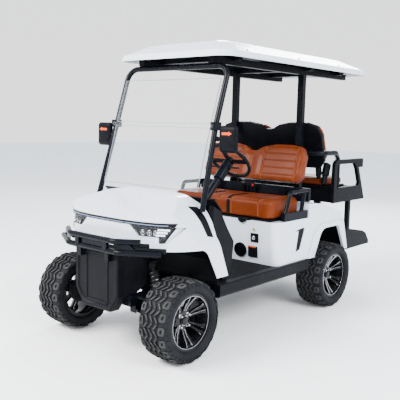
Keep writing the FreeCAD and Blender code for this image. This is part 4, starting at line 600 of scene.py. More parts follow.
def tyre(label):
    """An all-terrain tyre: lathe carcass, herringbone bars, hollowed shoulder blocks."""
    low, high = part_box("tyre_" + label)
    centre = (low + high) / 2
    heap = Heap()
    section = [(x, r) for x, r in reversed(CARCASS)] + [(-x, r) for x, r in CARCASS[1:]]
    section += [(-BEAD_HALF, BEAD_BORE), (BEAD_HALF, BEAD_BORE)]
    heap.turned(centre, LEFT, section, sides=TYRE_SIDES, closed=True)
    step = 2 * math.pi / PITCHES
    for i in range(PITCHES):
        angle = i * step
        shoulder_lug(heap, centre, angle, 1)
        shoulder_lug(heap, centre, angle + step / 2, -1)
        for across in BAR_ROWS:
            slanted_bar(heap, centre, angle + 0.25 * step, across, 1)
            slanted_bar(heap, centre, angle + 0.75 * step, across, -1)
    thing = heap.made("tread_" + label, [RUBBER, TREAD], "wheel_" + label, "tyre")
    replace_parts(thing, "tyre_" + label)


# Lathe forms of the rim: (distance out from the middle plane, radius).
BARREL = ((0.100, 0.1695), (0.0992, 0.1880), (0.0975, 0.1896), (0.0945, 0.1896), (0.0932, 0.1800),
          (0.070, 0.1776), (-0.070, 0.1776), (-0.0932, 0.1800), (-0.0945, 0.1896), (-0.0985, 0.1896),
          (-0.100, 0.1690), (-0.060, 0.1600), (0.050, 0.1600), (0.080, 0.1655))
LIP = ((0.0990, 0.1700), (0.1000, 0.1708), (0.1000, 0.1722), (0.0990, 0.1730))
HUB = ((-0.030, 0.028), (-0.030, 0.062), (0.026, 0.068), (0.034, 0.062), (0.036, 0.056), (0.036, 0.034),
       (0.032, 0.030))
CAP = ((0.030, 0.031), (0.046, 0.031), (0.052, 0.028), (0.055, 0.018), (0.056, 0.001))
CAP_RING = ((0.0415, 0.0312), (0.0415, 0.0325), (0.0455, 0.0325), (0.0455, 0.0312))
DRUM = ((-0.058, 0.030), (-0.058, 0.070), (-0.054, 0.084), (-0.014, 0.084), (-0.010, 0.078), (-0.010, 0.030))
DRUM_RING = ((-0.050, 0.0835), (-0.050, 0.0862), (-0.046, 0.0862), (-0.046, 0.0835))
NUT = ((0.028, 0.0125), (0.037, 0.0125), (0.037, 0.0095), (0.052, 0.0095), (0.056, 0.006), (0.057, 0.001))
VALVE = ((0.055, 0.004), (0.082, 0.004), (0.083, 0.003), (0.090, 0.003))
# Profile, material, sides and whether it closes on itself.
RIM_FORMS = ((BARREL, 0, 96, True), (LIP, 1, 96, True), (HUB, 0, 48, False), (CAP, 0, 40, False),
             (CAP_RING, 1, 40, False), (DRUM, 2, 48, False), (DRUM_RING, 2, 48, False))
NUTS = 4
NUT_CIRCLE = 0.0508
VALVE_CIRCLE = 0.158
SPOKES = 7
SPOKE_STEPS = 12
SPOKE_PHASE = 0.35
VALVE_PHASE = 0.85
SPOKE_FOOT = 0.060
SPOKE_TIP = 0.1690
FACE_FOOT = 0.036
FACE_TIP = 0.088
FACE_POWER = 1.55
FORK_GAP = 0.0085
FORK_SPREAD = 0.0135
FORK_POWER = 1.2
FORK_FLARE = 0.020
FORK_FLARE_FROM = 0.8
SPOKE_HALF = 0.0062
SPOKE_GROWTH = 0.0040
SPOKE_FLARE = 0.006
SPOKE_FLARE_FROM = 0.82
# Half section of a spoke: (beyond its half width, below its face).
SPOKE_SECTION = ((0.001, 0.026), (0.0005, 0.0050), (-0.0024, 0.0))


def rim(label, side):
    """A deep gloss-black rim: barrel, seven forked spokes with turned edges, hub, cap and nuts."""
    low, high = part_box("rim_" + label)
    centre = (low + high) / 2
    axis = LEFT * side
    heap = Heap()
    for profile, pick, sides, closed in RIM_FORMS:
        heap.turned(centre, axis, profile, pick, sides, closed)
    for i in range(SPOKES):
        for fork in (-1, 1):
            spoke(heap, centre, side, 2 * math.pi * (i + SPOKE_PHASE) / SPOKES, fork)
    for i in range(NUTS):
        heap.turned(wheel_point(centre, 0, NUT_CIRCLE, 2 * math.pi * (i + 0.5) / NUTS), axis, NUT, 1, 6)
    heap.turned(wheel_point(centre, 0, VALVE_CIRCLE, 2 * math.pi * VALVE_PHASE / SPOKES), axis, VALVE, 0, 8)
    thing = heap.made("alloy_" + label, [ALLOY, BRIGHT, CAST], "wheel_" + label, "alloy")
    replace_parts(thing, "rim_" + label)


def spoke(heap, centre, side, turn, fork):
    """One arm of a forked spoke, its face black between two turned edges."""
    rows = []
    for k in range(SPOKE_STEPS + 1):
        share = k / SPOKE_STEPS
        radius = SPOKE_FOOT + (SPOKE_TIP - SPOKE_FOOT) * share
        middle = FORK_GAP + FORK_SPREAD * share ** FORK_POWER + FORK_FLARE * max(0, share - FORK_FLARE_FROM)
        half = SPOKE_HALF + SPOKE_GROWTH * share
        half += SPOKE_FLARE * max(0, share - SPOKE_FLARE_FROM) / (1 - SPOKE_FLARE_FROM)
        face = FACE_FOOT + (FACE_TIP - FACE_FOOT) * share ** FACE_POWER
        section = [(-half - out, drop) for out, drop in SPOKE_SECTION]
        section += [(half + out, drop) for out, drop in reversed(SPOKE_SECTION)]
        rows.append([wheel_point(centre, (face - drop) * side, radius, turn + (middle * fork + across) / radius)
                     for across, drop in section])
    heap.ring(rows, flip=side > 0, stripes=(1, 3))


for corner_name, corner_side in (("fl", 1), ("fr", -1), ("rl", 1), ("rr", -1)):
    tyre(corner_name)
    rim(corner_name, corner_side)


# Upholstery

CLOTH_FRAMES = 20
CLOTH_PRESSURE = 4.0
CLOTH_MASS = 0.4
CLOTH_STIFFNESS = 18
CLOTH_BENDING = 2.0
CLOTH_QUALITY = 4
# Remesh sizes, how far a form is drawn in first, and how far its points may swell.
BACK_VOXEL = 0.0085
FRONT_SHRINK = 0.008
REAR_SHRINK = 0.006
FRONT_CAP = 0.012
REAR_CAP = 0.011
BACK_LEAN = math.radians(16.5)
BACK_DEEP = 0.088
BACK_TALL = 0.348
REAR_LEAN = math.radians(17.0)
REAR_NEAR = 0.0303
REAR_FAR = 0.108
REAR_TALL = 0.386
# Seams of the seats, from the middle of the bench, and channels, from the foot of each back.
PANEL_INNER = 0.120
PANEL_OUTER = 0.443
PANEL_BLEND = 0.012
SEAT_NARROWER = 0.058
FRONT_GROOVES = (0.022, 0.068, 0.127, 0.190, 0.250, 0.306)
REAR_GROOVES = (0.030, 0.085, 0.143, 0.202, 0.260, 0.318)
# Depth or height, and width, of each kind of relief.
CHANNEL = (0.0020, 0.0060)
BACK_SEAM = (0.0065, 0.007)
SEAT_SEAM = (0.0055, 0.007)
BACK_SPLIT = (0.006, 0.016)
SEAT_SPLIT = (0.006, 0.014)
BACK_BOLSTER = (0.010, 0.030)
SEAT_BOLSTER = (0.006, 0.035)
BACK_SWELL = (0.007, 0.036)
BOLSTER_OUT = 0.038
SEAT_BOLSTER_OUT = 0.045
SWELL_IN = 0.052
SEAM_FOOT = 0.012
SEAM_STOP = 0.020
FACING_LEAST = 0.05
BACKING_TURN = -0.75
SEAM_SIDE_SHARE = 0.6
# Piping, stitches and the dark lines of painted shade in the channels.
WELT_RADIUS = 0.0026
BACK_WELT_SINK = 0.0002
SEAT_WELT_SINK = 0.0004
WELT_FOOT = 0.018
WELT_STOP = 0.030
WELT_EDGE = 0.035
WELT_BROW = 0.036
STITCH_ASIDE = 0.006
STITCH_LONG = 0.0062
STITCH_RADIUS = 0.0008
STITCH_PROUD = 0.00024
STITCH_SHARE = 0.8
SHADE_LINE_RADIUS = 0.0013
RAY_BACK = 0.3
RAY_OVER = 0.2
# Rays along a backrest's seam, a bench's top seam, its front seam and a channel.
BACK_RAYS = 70
TOP_RAYS = 80
FACE_RAYS = 26
CHANNEL_RAYS = 60
# Channels of the benches: first one from the low edge, pitch, count, and the remesh size.
FRONT_BENCH = (0.085, 0.058, 6, 0.0095)
REAR_BENCH = (0.055, 0.056, 5, 0.0085)


def settled_mesh(thing):
    """Apply the object's modifiers to its mesh."""
    seen = thing.evaluated_get(bpy.context.evaluated_depsgraph_get())
    mesh = bpy.data.meshes.new_from_object(seen)
    thing.modifiers.clear()
    thing.data = mesh


def stuffed(node, to_row, shrink, cap, voxel):
    """The node's form drawn in, remeshed and blown up as cloth, with its swelling capped."""
    mesh = NODES[node].data.copy()
    mesh.transform(to_row.inverted())
    lows = Vector([min(v.co[i] for v in mesh.vertices) for i in range(3)])
    highs = Vector([max(v.co[i] for v in mesh.vertices) for i in range(3)])
    centre = (lows + highs) / 2
    span = highs - lows
    for v in mesh.vertices:
        v.co = Vector([centre[i] + (v.co[i] - centre[i]) * (1 - 2 * shrink / span[i]) for i in range(3)])
    thing = placed("hide_" + node, mesh)
    remesh = thing.modifiers.new("remesh", "REMESH")
    remesh.mode = "VOXEL"
    remesh.voxel_size = voxel
    settled_mesh(thing)
    blow_up(thing, cap)
    fine = thing.modifiers.new("fine", "SUBSURF")
    fine.levels = 1
    fine.render_levels = 1
    settled_mesh(thing)
    return thing


def blow_up(thing, cap):
    """Cloth under pressure for a few frames, no point moving further than the cap."""
    rest = [v.co.copy() for v in thing.data.vertices]
    cloth = thing.modifiers.new("cloth", "CLOTH")
    settings = cloth.settings
    settings.quality = CLOTH_QUALITY
    settings.mass = CLOTH_MASS
    settings.tension_stiffness = CLOTH_STIFFNESS
    settings.compression_stiffness = CLOTH_STIFFNESS
    settings.bending_stiffness = CLOTH_BENDING
    settings.use_pressure = True
    settings.uniform_pressure_force = CLOTH_PRESSURE
    settings.effector_weights.gravity = 0
    cloth.collision_settings.use_self_collision = False
    cloth.point_cache.frame_start = 1
    cloth.point_cache.frame_end = CLOTH_FRAMES
    for number in range(1, CLOTH_FRAMES + 1):
        bpy.context.scene.frame_set(number)
        bpy.context.evaluated_depsgraph_get()
    settled_mesh(thing)
    for v, before in zip(thing.data.vertices, rest):
        move = v.co - before
        if move.length > cap:
            v.co = before + move * (cap / move.length)
    bpy.context.scene.frame_set(1)


def dip(distance, shape):
    """A rounded groove or swelling at a distance from its line, from its height and width."""
    height, width = shape
    return height * math.exp(-(distance / width) ** 2)


def band(value, low, high, blend):
    """1 inside a range, falling smoothly to 0 outside it."""
    rise = min(1.0, max(0.0, (value - low) / blend + 0.5))
    fall = min(1.0, max(0.0, (high - value) / blend + 0.5))
    return rise * rise * (3 - 2 * rise) * fall * fall * (3 - 2 * fall)


def carve(thing, relief):
    """Push the surface in or out along its normals by a relief of place and normal."""
    normals = [v.normal.copy() for v in thing.data.vertices]
    for v, normal in zip(thing.data.vertices, normals):
        v.co += normal * relief(v.co, normal)
    thing.data.update()


def back_relief(facing, height, grooves):
    """Sewn panels of a backrest: cross channels between two seams on each side."""
    def relief(p, normal):
        front = max(0.0, normal.y * facing)
        if front < FACING_LEAST:
            return 0.0
        x = abs(p.x)
        inside = band(x, PANEL_INNER, PANEL_OUTER, PANEL_BLEND)
        depth = sum(dip(p.z - line, CHANNEL) for line in grooves) * inside
        depth += (dip(x - PANEL_INNER, BACK_SEAM) + dip(x - PANEL_OUTER, BACK_SEAM)) * band(
            p.z, SEAM_FOOT, height - SEAM_STOP, SEAM_STOP)
        depth += dip(x, BACK_SPLIT)
        bolster = dip(x - PANEL_OUTER - BOLSTER_OUT, BACK_BOLSTER)
        swell = dip(x - PANEL_INNER + SWELL_IN, BACK_SWELL)
        return (bolster + swell - depth) * front
    return relief


def seat_relief(outer, grooves):
    """Sewn panels of a bench cushion: channels across each seat, seams down its front."""
    def relief(p, normal):
        x = abs(p.x)
        up = max(0.0, normal.z)
        inside = band(x, PANEL_INNER, outer, PANEL_BLEND)
        depth = sum(dip(p.y - line, CHANNEL) for line in grooves) * inside * up
        lengthwise = dip(x - PANEL_INNER, SEAT_SEAM) + dip(x - outer, SEAT_SEAM)
        depth += lengthwise * max(up, abs(normal.y) * SEAM_SIDE_SHARE)
        depth += dip(x, SEAT_SPLIT) * up
        return dip(x - outer - SEAT_BOLSTER_OUT, SEAT_BOLSTER) * up - depth
    return relief


def welt(heap, places, sink):
    """A piped seam along points on the hide."""
    if len(places) > 2:
        heap.ring(tube_loops([p - n * sink for p, n in places], WELT_RADIUS, 8))


def stitches(heap, places):
    """A row of thread stitches beside a seam."""
    for (p, n), (q, m) in zip(places[::2], places[1::2]):
        gap = q - p
        if gap.length == 0:
            continue
        along = gap.normalized()
        start = p + n.cross(along).normalized() * STITCH_ASIDE + n * STITCH_PROUD
        heap.rod(start, start + along * min(STITCH_LONG, gap.length * STITCH_SHARE), STITCH_RADIUS, 1, 6)


def shade_line(heap, places):
    """A dark line of painted shade along a channel, half sunk in the hide."""
    if len(places) > 2:
        heap.ring(tube_loops([p for p, n in places], SHADE_LINE_RADIUS, 6), 2)


def finish_soft(thing, node, body):
    """Seat a soft piece on its body in place of its plain solid."""
    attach(thing, body)
    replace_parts(thing, node)


def backrest(node, seams, facing, to_row, height, shrink, cap, grooves, hides):
    """A channelled backrest made in its own leaning frame. facing is -1 for the front seat."""
    thing = stuffed(node, to_row, shrink, cap, BACK_VOXEL)
    carve(thing, back_relief(facing, height, grooves))
    last = len(hides) - 1
    dress(thing, hides, [last if face.normal.y * facing < BACKING_TURN else 0
                         for face in thing.data.polygons])
    heap = Heap()
    heading = REAR * -facing
    away = RAY_BACK * facing
    for side in (-1, 1):
        for x in (PANEL_INNER * side, PANEL_OUTER * side):
            places = trace(thing, lines((x, away, WELT_FOOT), (x, away, height - WELT_STOP), BACK_RAYS), heading)
            welt(heap, places, BACK_WELT_SINK)
            stitches(heap, places)
        for line in grooves:
            ends = [(x * side, away, line) for x in (PANEL_INNER, PANEL_OUTER)]
            shade_line(heap, trace(thing, lines(*ends, CHANNEL_RAYS), heading))
    heap.verts = [to_row @ v for v in heap.verts]
    heap.made(seams, [WELT_HIGHLIGHT, STITCH, CHANNEL_SHADE], "chassis", "leather")
    thing.data.transform(to_row)
    finish_soft(thing, node, "chassis")


def bench(node, body, first, pitch, count, voxel, front_sign):
    """A bench cushion with channels, seams and piping. Its front faces along front_sign."""
    thing = stuffed(node, Matrix.Identity(4), FRONT_SHRINK, FRONT_CAP, voxel)
    low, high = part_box(node)
    outer = PANEL_OUTER - SEAT_NARROWER
    grooves = [low.y + first + pitch * k for k in range(count)]
    carve(thing, seat_relief(outer, grooves))
    dress(thing, [HIDE])
    heap = Heap()
    above = high.z + RAY_OVER
    ahead = (low.y if front_sign < 0 else high.y) + RAY_BACK * front_sign
    for side in (-1, 1):
        for x in (PANEL_INNER * side, outer * side):
            top = lines((x, low.y + WELT_EDGE, above), (x, high.y - WELT_EDGE, above), TOP_RAYS)
            top = trace(thing, top, -UP)
            welt(heap, top, SEAT_WELT_SINK)
            stitches(heap, top)
            face = lines((x, ahead, low.z + WELT_FOOT), (x, ahead, high.z - WELT_BROW), FACE_RAYS)
            welt(heap, trace(thing, face, REAR * -front_sign), SEAT_WELT_SINK)
        for line in grooves:
            ends = [(x * side, line, above) for x in (PANEL_INNER, outer)]
            shade_line(heap, trace(thing, lines(*ends, CHANNEL_RAYS), -UP))
    heap.made(node + "_seams", [WELT_HIGHLIGHT, STITCH, CHANNEL_SHADE], body, "leather")
    finish_soft(thing, node, body)
    return thing


back_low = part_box("front_backrest")[0]
rear_low, rear_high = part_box("rear_backrest")
FRONT_ROW = (Matrix.Translation((0, back_low.y, back_low.z + BACK_DEEP * math.sin(BACK_LEAN)))
             @ Matrix.Rotation(-BACK_LEAN, 4, "X"))
REAR_ROW = (Matrix.Translation((0, rear_high.y - REAR_FAR * math.cos(REAR_LEAN),
                                rear_low.z - REAR_NEAR * math.sin(REAR_LEAN)))
            @ Matrix.Rotation(REAR_LEAN, 4, "X"))
backrest("front_backrest", "front_back_seams", -1, FRONT_ROW, BACK_TALL, FRONT_SHRINK, FRONT_CAP,
         FRONT_GROOVES, [HIDE, VINYL])
backrest("rear_backrest", "rear_back_seams", 1, REAR_ROW, REAR_TALL, REAR_SHRINK, REAR_CAP,
         REAR_GROOVES, [HIDE])
front_seat = bench("front_cushion", "seat_lid", *FRONT_BENCH, -1)
bench("rear_cushion", "rear_flip", *REAR_BENCH, 1)


# Front lamps

LAMP_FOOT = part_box("headlamps")[0].z
LAMP_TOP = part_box("headlamps")[1].z
# The slanted line, out from the middle, beyond which the nose's paint runs over the lamps.
LAMP_TIP_LOW = 0.452
LAMP_TIP_HIGH = 0.512
TIP_SINK = 0.0045
TIP_EDGE = 0.0005
CUT_MERGE = 0.00001
FRONT_TURN = -0.08
FRAME_WIDE = 0.006
FRAME_STEP = 0.002
FRAME_DEEP = 0.017
# Bright bars stacked at the outer end of each lamp.
LADDER_BARS = 5
LADDER_TOP = 0.020
LADDER_MARGIN = 0.036
LADDER_OUT = 0.488
LADDER_TAPER = 0.050
LADDER_LONG = 0.066
LADDER_SHORTER = 0.026
LADDER_BEND = 0.030
LADDER_HALF = 0.0055
LADDER_LIFT = -0.003
LADDER_SINK = 0.009
BOWLS = (0.318, 0.364, 0.410)
BOWL_DROP = 0.046
BOWL_DEEP = 0.016
BOWL_FORM = ((0.0, 0.014), (0.010, 0.020), (0.011, 0.018), (0.004, 0.009), (0.006, 0.007), (0.008, 0.001))
STRIPS = ((-0.480, -0.180), (-0.172, 0.172), (0.180, 0.480))
STRIP_STEPS = 16
STRIP_RISE = 0.009
STRIP_HALF = 0.0026
STRIP_LIFT = 0.0012


def body_coloured_ends(form, pick):
    """The outer ends of the lamps: split off on a slant, painted like the nose and set back flush with it."""
    for side in (-1, 1):
        low = Vector((LAMP_TIP_LOW * side, 0, LAMP_FOOT))
        high = Vector((LAMP_TIP_HIGH * side, 0, LAMP_TOP))
        normal = (high - low).cross(REAR).normalized()
        if normal.x * side < 0:
            normal = -normal
        bmesh.ops.bisect_plane(form, geom=form.verts[:] + form.edges[:] + form.faces[:], plane_co=low,
                               plane_no=normal, dist=CUT_MERGE)
        outer = [face for face in form.faces if (face.calc_center_median() - low).dot(normal) > 0
                 and face.calc_center_median().x * side > 0]
        for face in outer:
            face.material_index = pick
        for vert in {vert for face in outer for vert in face.verts}:
            if (vert.co - low).dot(normal) > TIP_EDGE:
                vert.co.y += TIP_SINK


def sunk_lamps():
    """Headlamps: gloss frame, sunk bowl behind a clear cover."""
    bowl = bmesh.new()
    bowl.from_mesh(NODES["headlamps"].data)
    front = [face for face in bowl.faces if face.normal.y < FRONT_TURN]
    bmesh.ops.inset_region(bowl, faces=front, thickness=FRAME_WIDE, use_even_offset=True)
    cover = bowl.copy()
    bowl.faces.index_update()
    picked = {face.index for face in front}
    cover.faces.ensure_lookup_table()
    bmesh.ops.delete(cover, geom=[face for face in cover.faces if face.index not in picked], context="FACES")
    bmesh.ops.inset_region(bowl, faces=front, thickness=FRAME_STEP, depth=-FRAME_DEEP, use_even_offset=True)
    for face in bowl.faces:
        face.material_index = 0
    for face in front:
        face.material_index = 1
    body_coloured_ends(bowl, 2)
    for face in cover.faces:
        face.material_index = 0
    body_coloured_ends(cover, 1)
    bmesh.ops.delete(cover, geom=[face for face in cover.faces if face.material_index == 1], context="FACES")
    bowls = from_form("lamp_bowls", bowl, [PIANO, BOWL, WHITE])
    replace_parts(bowls, "headlamps")
    from_form("lamp_covers", cover, [LENS])


def light_bar_body():
    """The gloss bar over the nose, its ends painted like the nose."""
    bar = bmesh.new()
    bar.from_mesh(NODES["light_bar"].data)
    for face in bar.faces:
        face.material_index = 0
    body_coloured_ends(bar, 1)
    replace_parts(from_form("light_bar_body", bar, [PIANO, WHITE]), "light_bar")


def lamp_inside():
    """Bright bars and reflectors inside the headlamps, and the strips between them."""
    heap = Heap()
    for side in (-1, 1):
        for k in range(LADDER_BARS):
            share = k / (LADDER_BARS - 1)
            z = LAMP_TOP - LADDER_TOP - share * (LAMP_TOP - LAMP_FOOT - LADDER_MARGIN)
            outer = LADDER_OUT - LADDER_TAPER * share
            path = [((x * side, -OUTSIDE, z - LADDER_HALF), (x * side, -OUTSIDE, z + LADDER_HALF))
                    for x in (outer - LADDER_LONG + LADDER_SHORTER * share, outer - LADDER_BEND, outer)]
            ribbon(heap, "headlamps", path, REAR, LADDER_LIFT, LADDER_SINK)
        for x in BOWLS:
            place, normal = hit("headlamps", (x * side, -OUTSIDE, LAMP_TOP - BOWL_DROP), REAR)
            heap.turned(place - normal * BOWL_DEEP, normal, BOWL_FORM, 1, 20)
    heap.made("lamp_bars", [WHITE_GLOW, REFLECTOR], "chassis", "lamp")
    strips = Heap()
    middle = LAMP_TOP + STRIP_RISE
    for x0, x1 in STRIPS:
        xs = [x0 + (x1 - x0) * k / STRIP_STEPS for k in range(STRIP_STEPS + 1)]
        ribbon(strips, "light_bar", [((x, -OUTSIDE, middle - STRIP_HALF), (x, -OUTSIDE, middle + STRIP_HALF))
                                     for x in xs], REAR, STRIP_LIFT)
    strips.made("light_strips", [STRIP_GLOW], "chassis", "lamp")


sunk_lamps()
lamp_inside()
light_bar_body()


# Bumper

WEB_FOOT = 0.714
WEB_TOP = 0.785
WEB_HALF = 0.165
WEB_FRONT = -1.5285
WEB_THICK = 0.005
# Side webs: (across, along, top).
SIDE_WEB = ((0.232, -1.523, 0.785), (0.300, -1.490, 0.779), (0.362, -1.457, 0.716))
# Flat end bars: height of the middle, then (across, along) of each bend.
END_BARS = ((0.760, ((0.190, -1.508), (0.235, -1.503), (0.300, -1.470), (0.402, -1.402))),
            (0.736, ((0.300, -1.478), (0.400, -1.418), (0.506, -1.354))))
BAR_HALF_TALL = 0.0165
BAR_THICK = 0.008
WEB_BOLTS = (-0.237, -0.138, 0.138, 0.237)
BOLT_FRONT = -1.545
WEB_BOLT = ((-0.004, 0.008), (0.0, 0.0085), (0.003, 0.0075), (0.0045, 0.004), (0.005, 0.0008))
PANEL_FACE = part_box("bumper_panel")[0].y
PANEL_OUTLINE = ((-0.138, 0.292), (0.138, 0.292), (0.215, 0.405), (0.215, 0.690), (-0.215, 0.690),
                 (-0.215, 0.405))
# Raised border: (in from the outline, proud of the panel). Ribs: (off the middle line, proud).
BORDER = ((0.004, 0.0), (0.010, 0.007), (0.030, 0.007), (0.038, 0.0))
RIB = ((0.014, 0.0), (0.009, 0.006), (-0.009, 0.006), (-0.014, 0.0))
RIB_X = 0.105
RIB_FOOT_Z = 0.345
RIB_STATIONS = (0.345, 0.352, 0.640, 0.648)


def bumper_details():
    """Web plates between the tubes, flat end bars and their bolts."""
    heap = Heap()
    plate(heap, ((-WEB_HALF, WEB_FOOT), (WEB_HALF, WEB_FOOT), (WEB_HALF, WEB_TOP), (-WEB_HALF, WEB_TOP)),
          (WEB_FRONT, WEB_FRONT + WEB_THICK))
    for side in (-1, 1):
        folded(heap, [((x * side, y, WEB_FOOT), (x * side, y, top)) for x, y, top in SIDE_WEB],
               REAR * WEB_THICK)
        for z, path in END_BARS:
            edges = [((x * side, y, z - BAR_HALF_TALL), (x * side, y, z + BAR_HALF_TALL)) for x, y in path]
            folded(heap, edges, REAR * BAR_THICK)
    heap.made("bumper_plates", [SKY_TINTED_STEEL], "chassis", "black_metal")
    bolts = Heap()
    for x in WEB_BOLTS:
        bolts.turned((x, BOLT_FRONT, WEB_FOOT), -REAR, WEB_BOLT, sides=12)
    bolts.made("bumper_bolts", [CAST], "chassis", "black_metal")


def panel_relief():
    """Raised border and ribs of the panel under the bumper."""
    heap = Heap()
    heap.ring([[Vector((x, PANEL_FACE - proud, z)) for x, z in inset_outline(PANEL_OUTLINE, inset)]
               for inset, proud in BORDER], capped=False)
    for x in (-RIB_X, RIB_X):
        heap.ring([[Vector((x - off, PANEL_FACE - proud, z)) for off, proud in RIB] for z in RIB_STATIONS])
    heap.ring([[Vector((x, PANEL_FACE - proud, RIB_FOOT_Z - off)) for off, proud in RIB]
               for x in (-RIB_X, RIB_X)])
    heap.made("bumper_panel_relief", [BLACK], "chassis", "black_plastic")


bumper_details()
panel_relief()


# Nose: side trim, pressed lines, shroud and springs

TRIM_TOP = 0.992
TRIM_TALL = 0.190
TRIM_Y = -1.052
TRIM_RUN = 0.046
TRIM_POWER = 0.8
TRIM_HALF = 0.038
TRIM_TAPER = 0.012
TRIM_SLANT = 0.010
TRIM_PROUD = 0.006
TRIM_STEPS = 8
# Pressed lines of the hood: the path on one side, and the bow that joins both.
HOOD_PATH = ((0.330, -1.060), (0.300, -1.150), (0.262, -1.225), (0.205, -1.280), (0.150, -1.300))
HOOD_STEPS = 5
HOOD_LINE_HALF = 0.004
HOOD_LINE_SLANT = 0.003
HOOD_BOW_STEPS = 20
HOOD_BOW = 0.012
HOOD_BOW_WIDE = 0.008
HOOD_PROUD = 0.0016
SHROUD_X = 0.214
SHROUD_FRONT = -1.440
SHROUD_LONG = 0.200
SHROUD_FLARE = 0.034
SHROUD_TOP = 0.690
SHROUD_FOOT = 0.400
SHROUD_RISE = 0.085
SHROUD_WALL = 0.005
SHROUD_STEPS = 4
COIL_RADIUS = 0.031
COIL_WIRE = 0.0052
COIL_TURNS = 9
COIL_STEPS = 14
COIL_FROM = 0.16
COIL_TO = 0.84
SHOCK_END = 0.012


def cowl_trim():
    """Black trim beside the screen posts."""
    heap = Heap()
    for side in (-1, 1):
        path = []
        for k in range(TRIM_STEPS + 1):
            share = k / TRIM_STEPS
            z = TRIM_TOP - TRIM_TALL * share
            middle = TRIM_Y + TRIM_RUN * share ** TRIM_POWER
            half = TRIM_HALF - TRIM_TAPER * share
            path.append(((side * BESIDE, middle - half, z), (side * BESIDE, middle + half, z - TRIM_SLANT)))
        ribbon(heap, "front_cowl", path, LEFT * -side, TRIM_PROUD)
    heap.made("cowl_side_trim", [BLACK], "chassis", "black_plastic")


def hood_lines():
    """Shallow pressed lines on the nose's top."""
    heap = Heap()
    for side in (-1, 1):
        fine = [(x0 + (x1 - x0) * k / HOOD_STEPS, y0 + (y1 - y0) * k / HOOD_STEPS)
                for (x0, y0), (x1, y1) in zip(HOOD_PATH, HOOD_PATH[1:]) for k in range(HOOD_STEPS)]
        path = [(((x - HOOD_LINE_HALF) * side, y, OVER),
                 ((x + HOOD_LINE_HALF) * side, y + HOOD_LINE_SLANT, OVER)) for x, y in fine + [HOOD_PATH[-1]]]
        ribbon(heap, "front_cowl", path, -UP, HOOD_PROUD)
    reach, front = HOOD_PATH[-1]
    path = []
    for k in range(-HOOD_BOW_STEPS, HOOD_BOW_STEPS + 1):
        share = k / HOOD_BOW_STEPS
        y = front - HOOD_BOW * (1 - share ** 2)
        path.append(((share * reach, y, OVER), (share * reach, y + HOOD_BOW_WIDE, OVER)))
    ribbon(heap, "front_cowl", path, -UP, HOOD_PROUD)
    heap.made("hood_lines", [WHITE], "chassis", "white_panel")


def shroud():
    """Black cheeks between the bumper panel and the wheel wells."""
    heap = Heap()
    for side in (-1, 1):
        edges = []
        for k in range(SHROUD_STEPS + 1):
            share = k / SHROUD_STEPS
            x = (SHROUD_X + SHROUD_FLARE * math.sin(share * math.pi / 2)) * side
            y = SHROUD_FRONT + SHROUD_LONG * share
            edges.append(((x, y, SHROUD_FOOT + SHROUD_RISE * share ** 2), (x, y, SHROUD_TOP)))
        folded(heap, edges, LEFT * -SHROUD_WALL * side)
    heap.made("nose_shroud", [BLACK], "chassis", "black_plastic")


def shock_springs():
    """Coil springs round the front dampers."""
    heap = Heap()
    for side in (-1, 1):
        points = [v.co for v in NODES["front_shocks"].data.vertices if v.co.x * side > 0]
        ends = []
        for level in (min(p.z for p in points), max(p.z for p in points)):
            near = [p for p in points if abs(p.z - level) < SHOCK_END]
            ends.append(sum(near, Vector()) / len(near))
        foot = ends[0].lerp(ends[1], COIL_FROM)
        axis = ends[0].lerp(ends[1], COIL_TO) - foot
        across = axis.orthogonal().normalized()
        up = axis.normalized().cross(across)
        steps = COIL_TURNS * COIL_STEPS
        turn = 2 * math.pi / COIL_STEPS
        path = [foot + axis * (k / steps)
                + (across * math.cos(k * turn) + up * math.sin(k * turn)) * COIL_RADIUS
                for k in range(steps + 1)]
        heap.ring(tube_loops(path, COIL_WIRE, 6))
    heap.made("front_springs", [SPRING], "chassis", "casting")


# Mirrors

MIRROR_ROUND = 0.024
MIRROR_WIDE = 0.145
MIRROR_TALL = 0.178
MIRROR_DEEP = 0.034
# Sections of a shell: (in from the outline, back from the front).
MIRROR_ROWS = ((0.030, 0.0), (0.014, 0.0025), (0.004, 0.009), (0.0, 0.018), (0.0, MIRROR_DEEP - 0.003),
               (0.003, MIRROR_DEEP))
ROUND_LEAST = 0.008
ROUND_SHRINK = 0.5
GLASS_INSET = 0.009
GLASS_ROUND = 0.7
GLASS_HALF = 0.001
# Arrow, pointing outwards: (across, up).
ARROW = ((-0.040, -0.009), (0.0154, -0.009), (0.0154, -0.015), (0.044, 0.0), (0.0154, 0.015), (0.0154, 0.009),
         (-0.040, 0.009))
ARROW_DROP = 0.052
ARROW_REACH = (-0.002, 0.004)
STALK_X = 0.505
STALK_RADIUS = 0.010
STALK_BACK = 0.002
KNUCKLE_X = 0.512
KNUCKLE = ((0.0, 0.015), (0.010, 0.018), (0.022, 0.013))


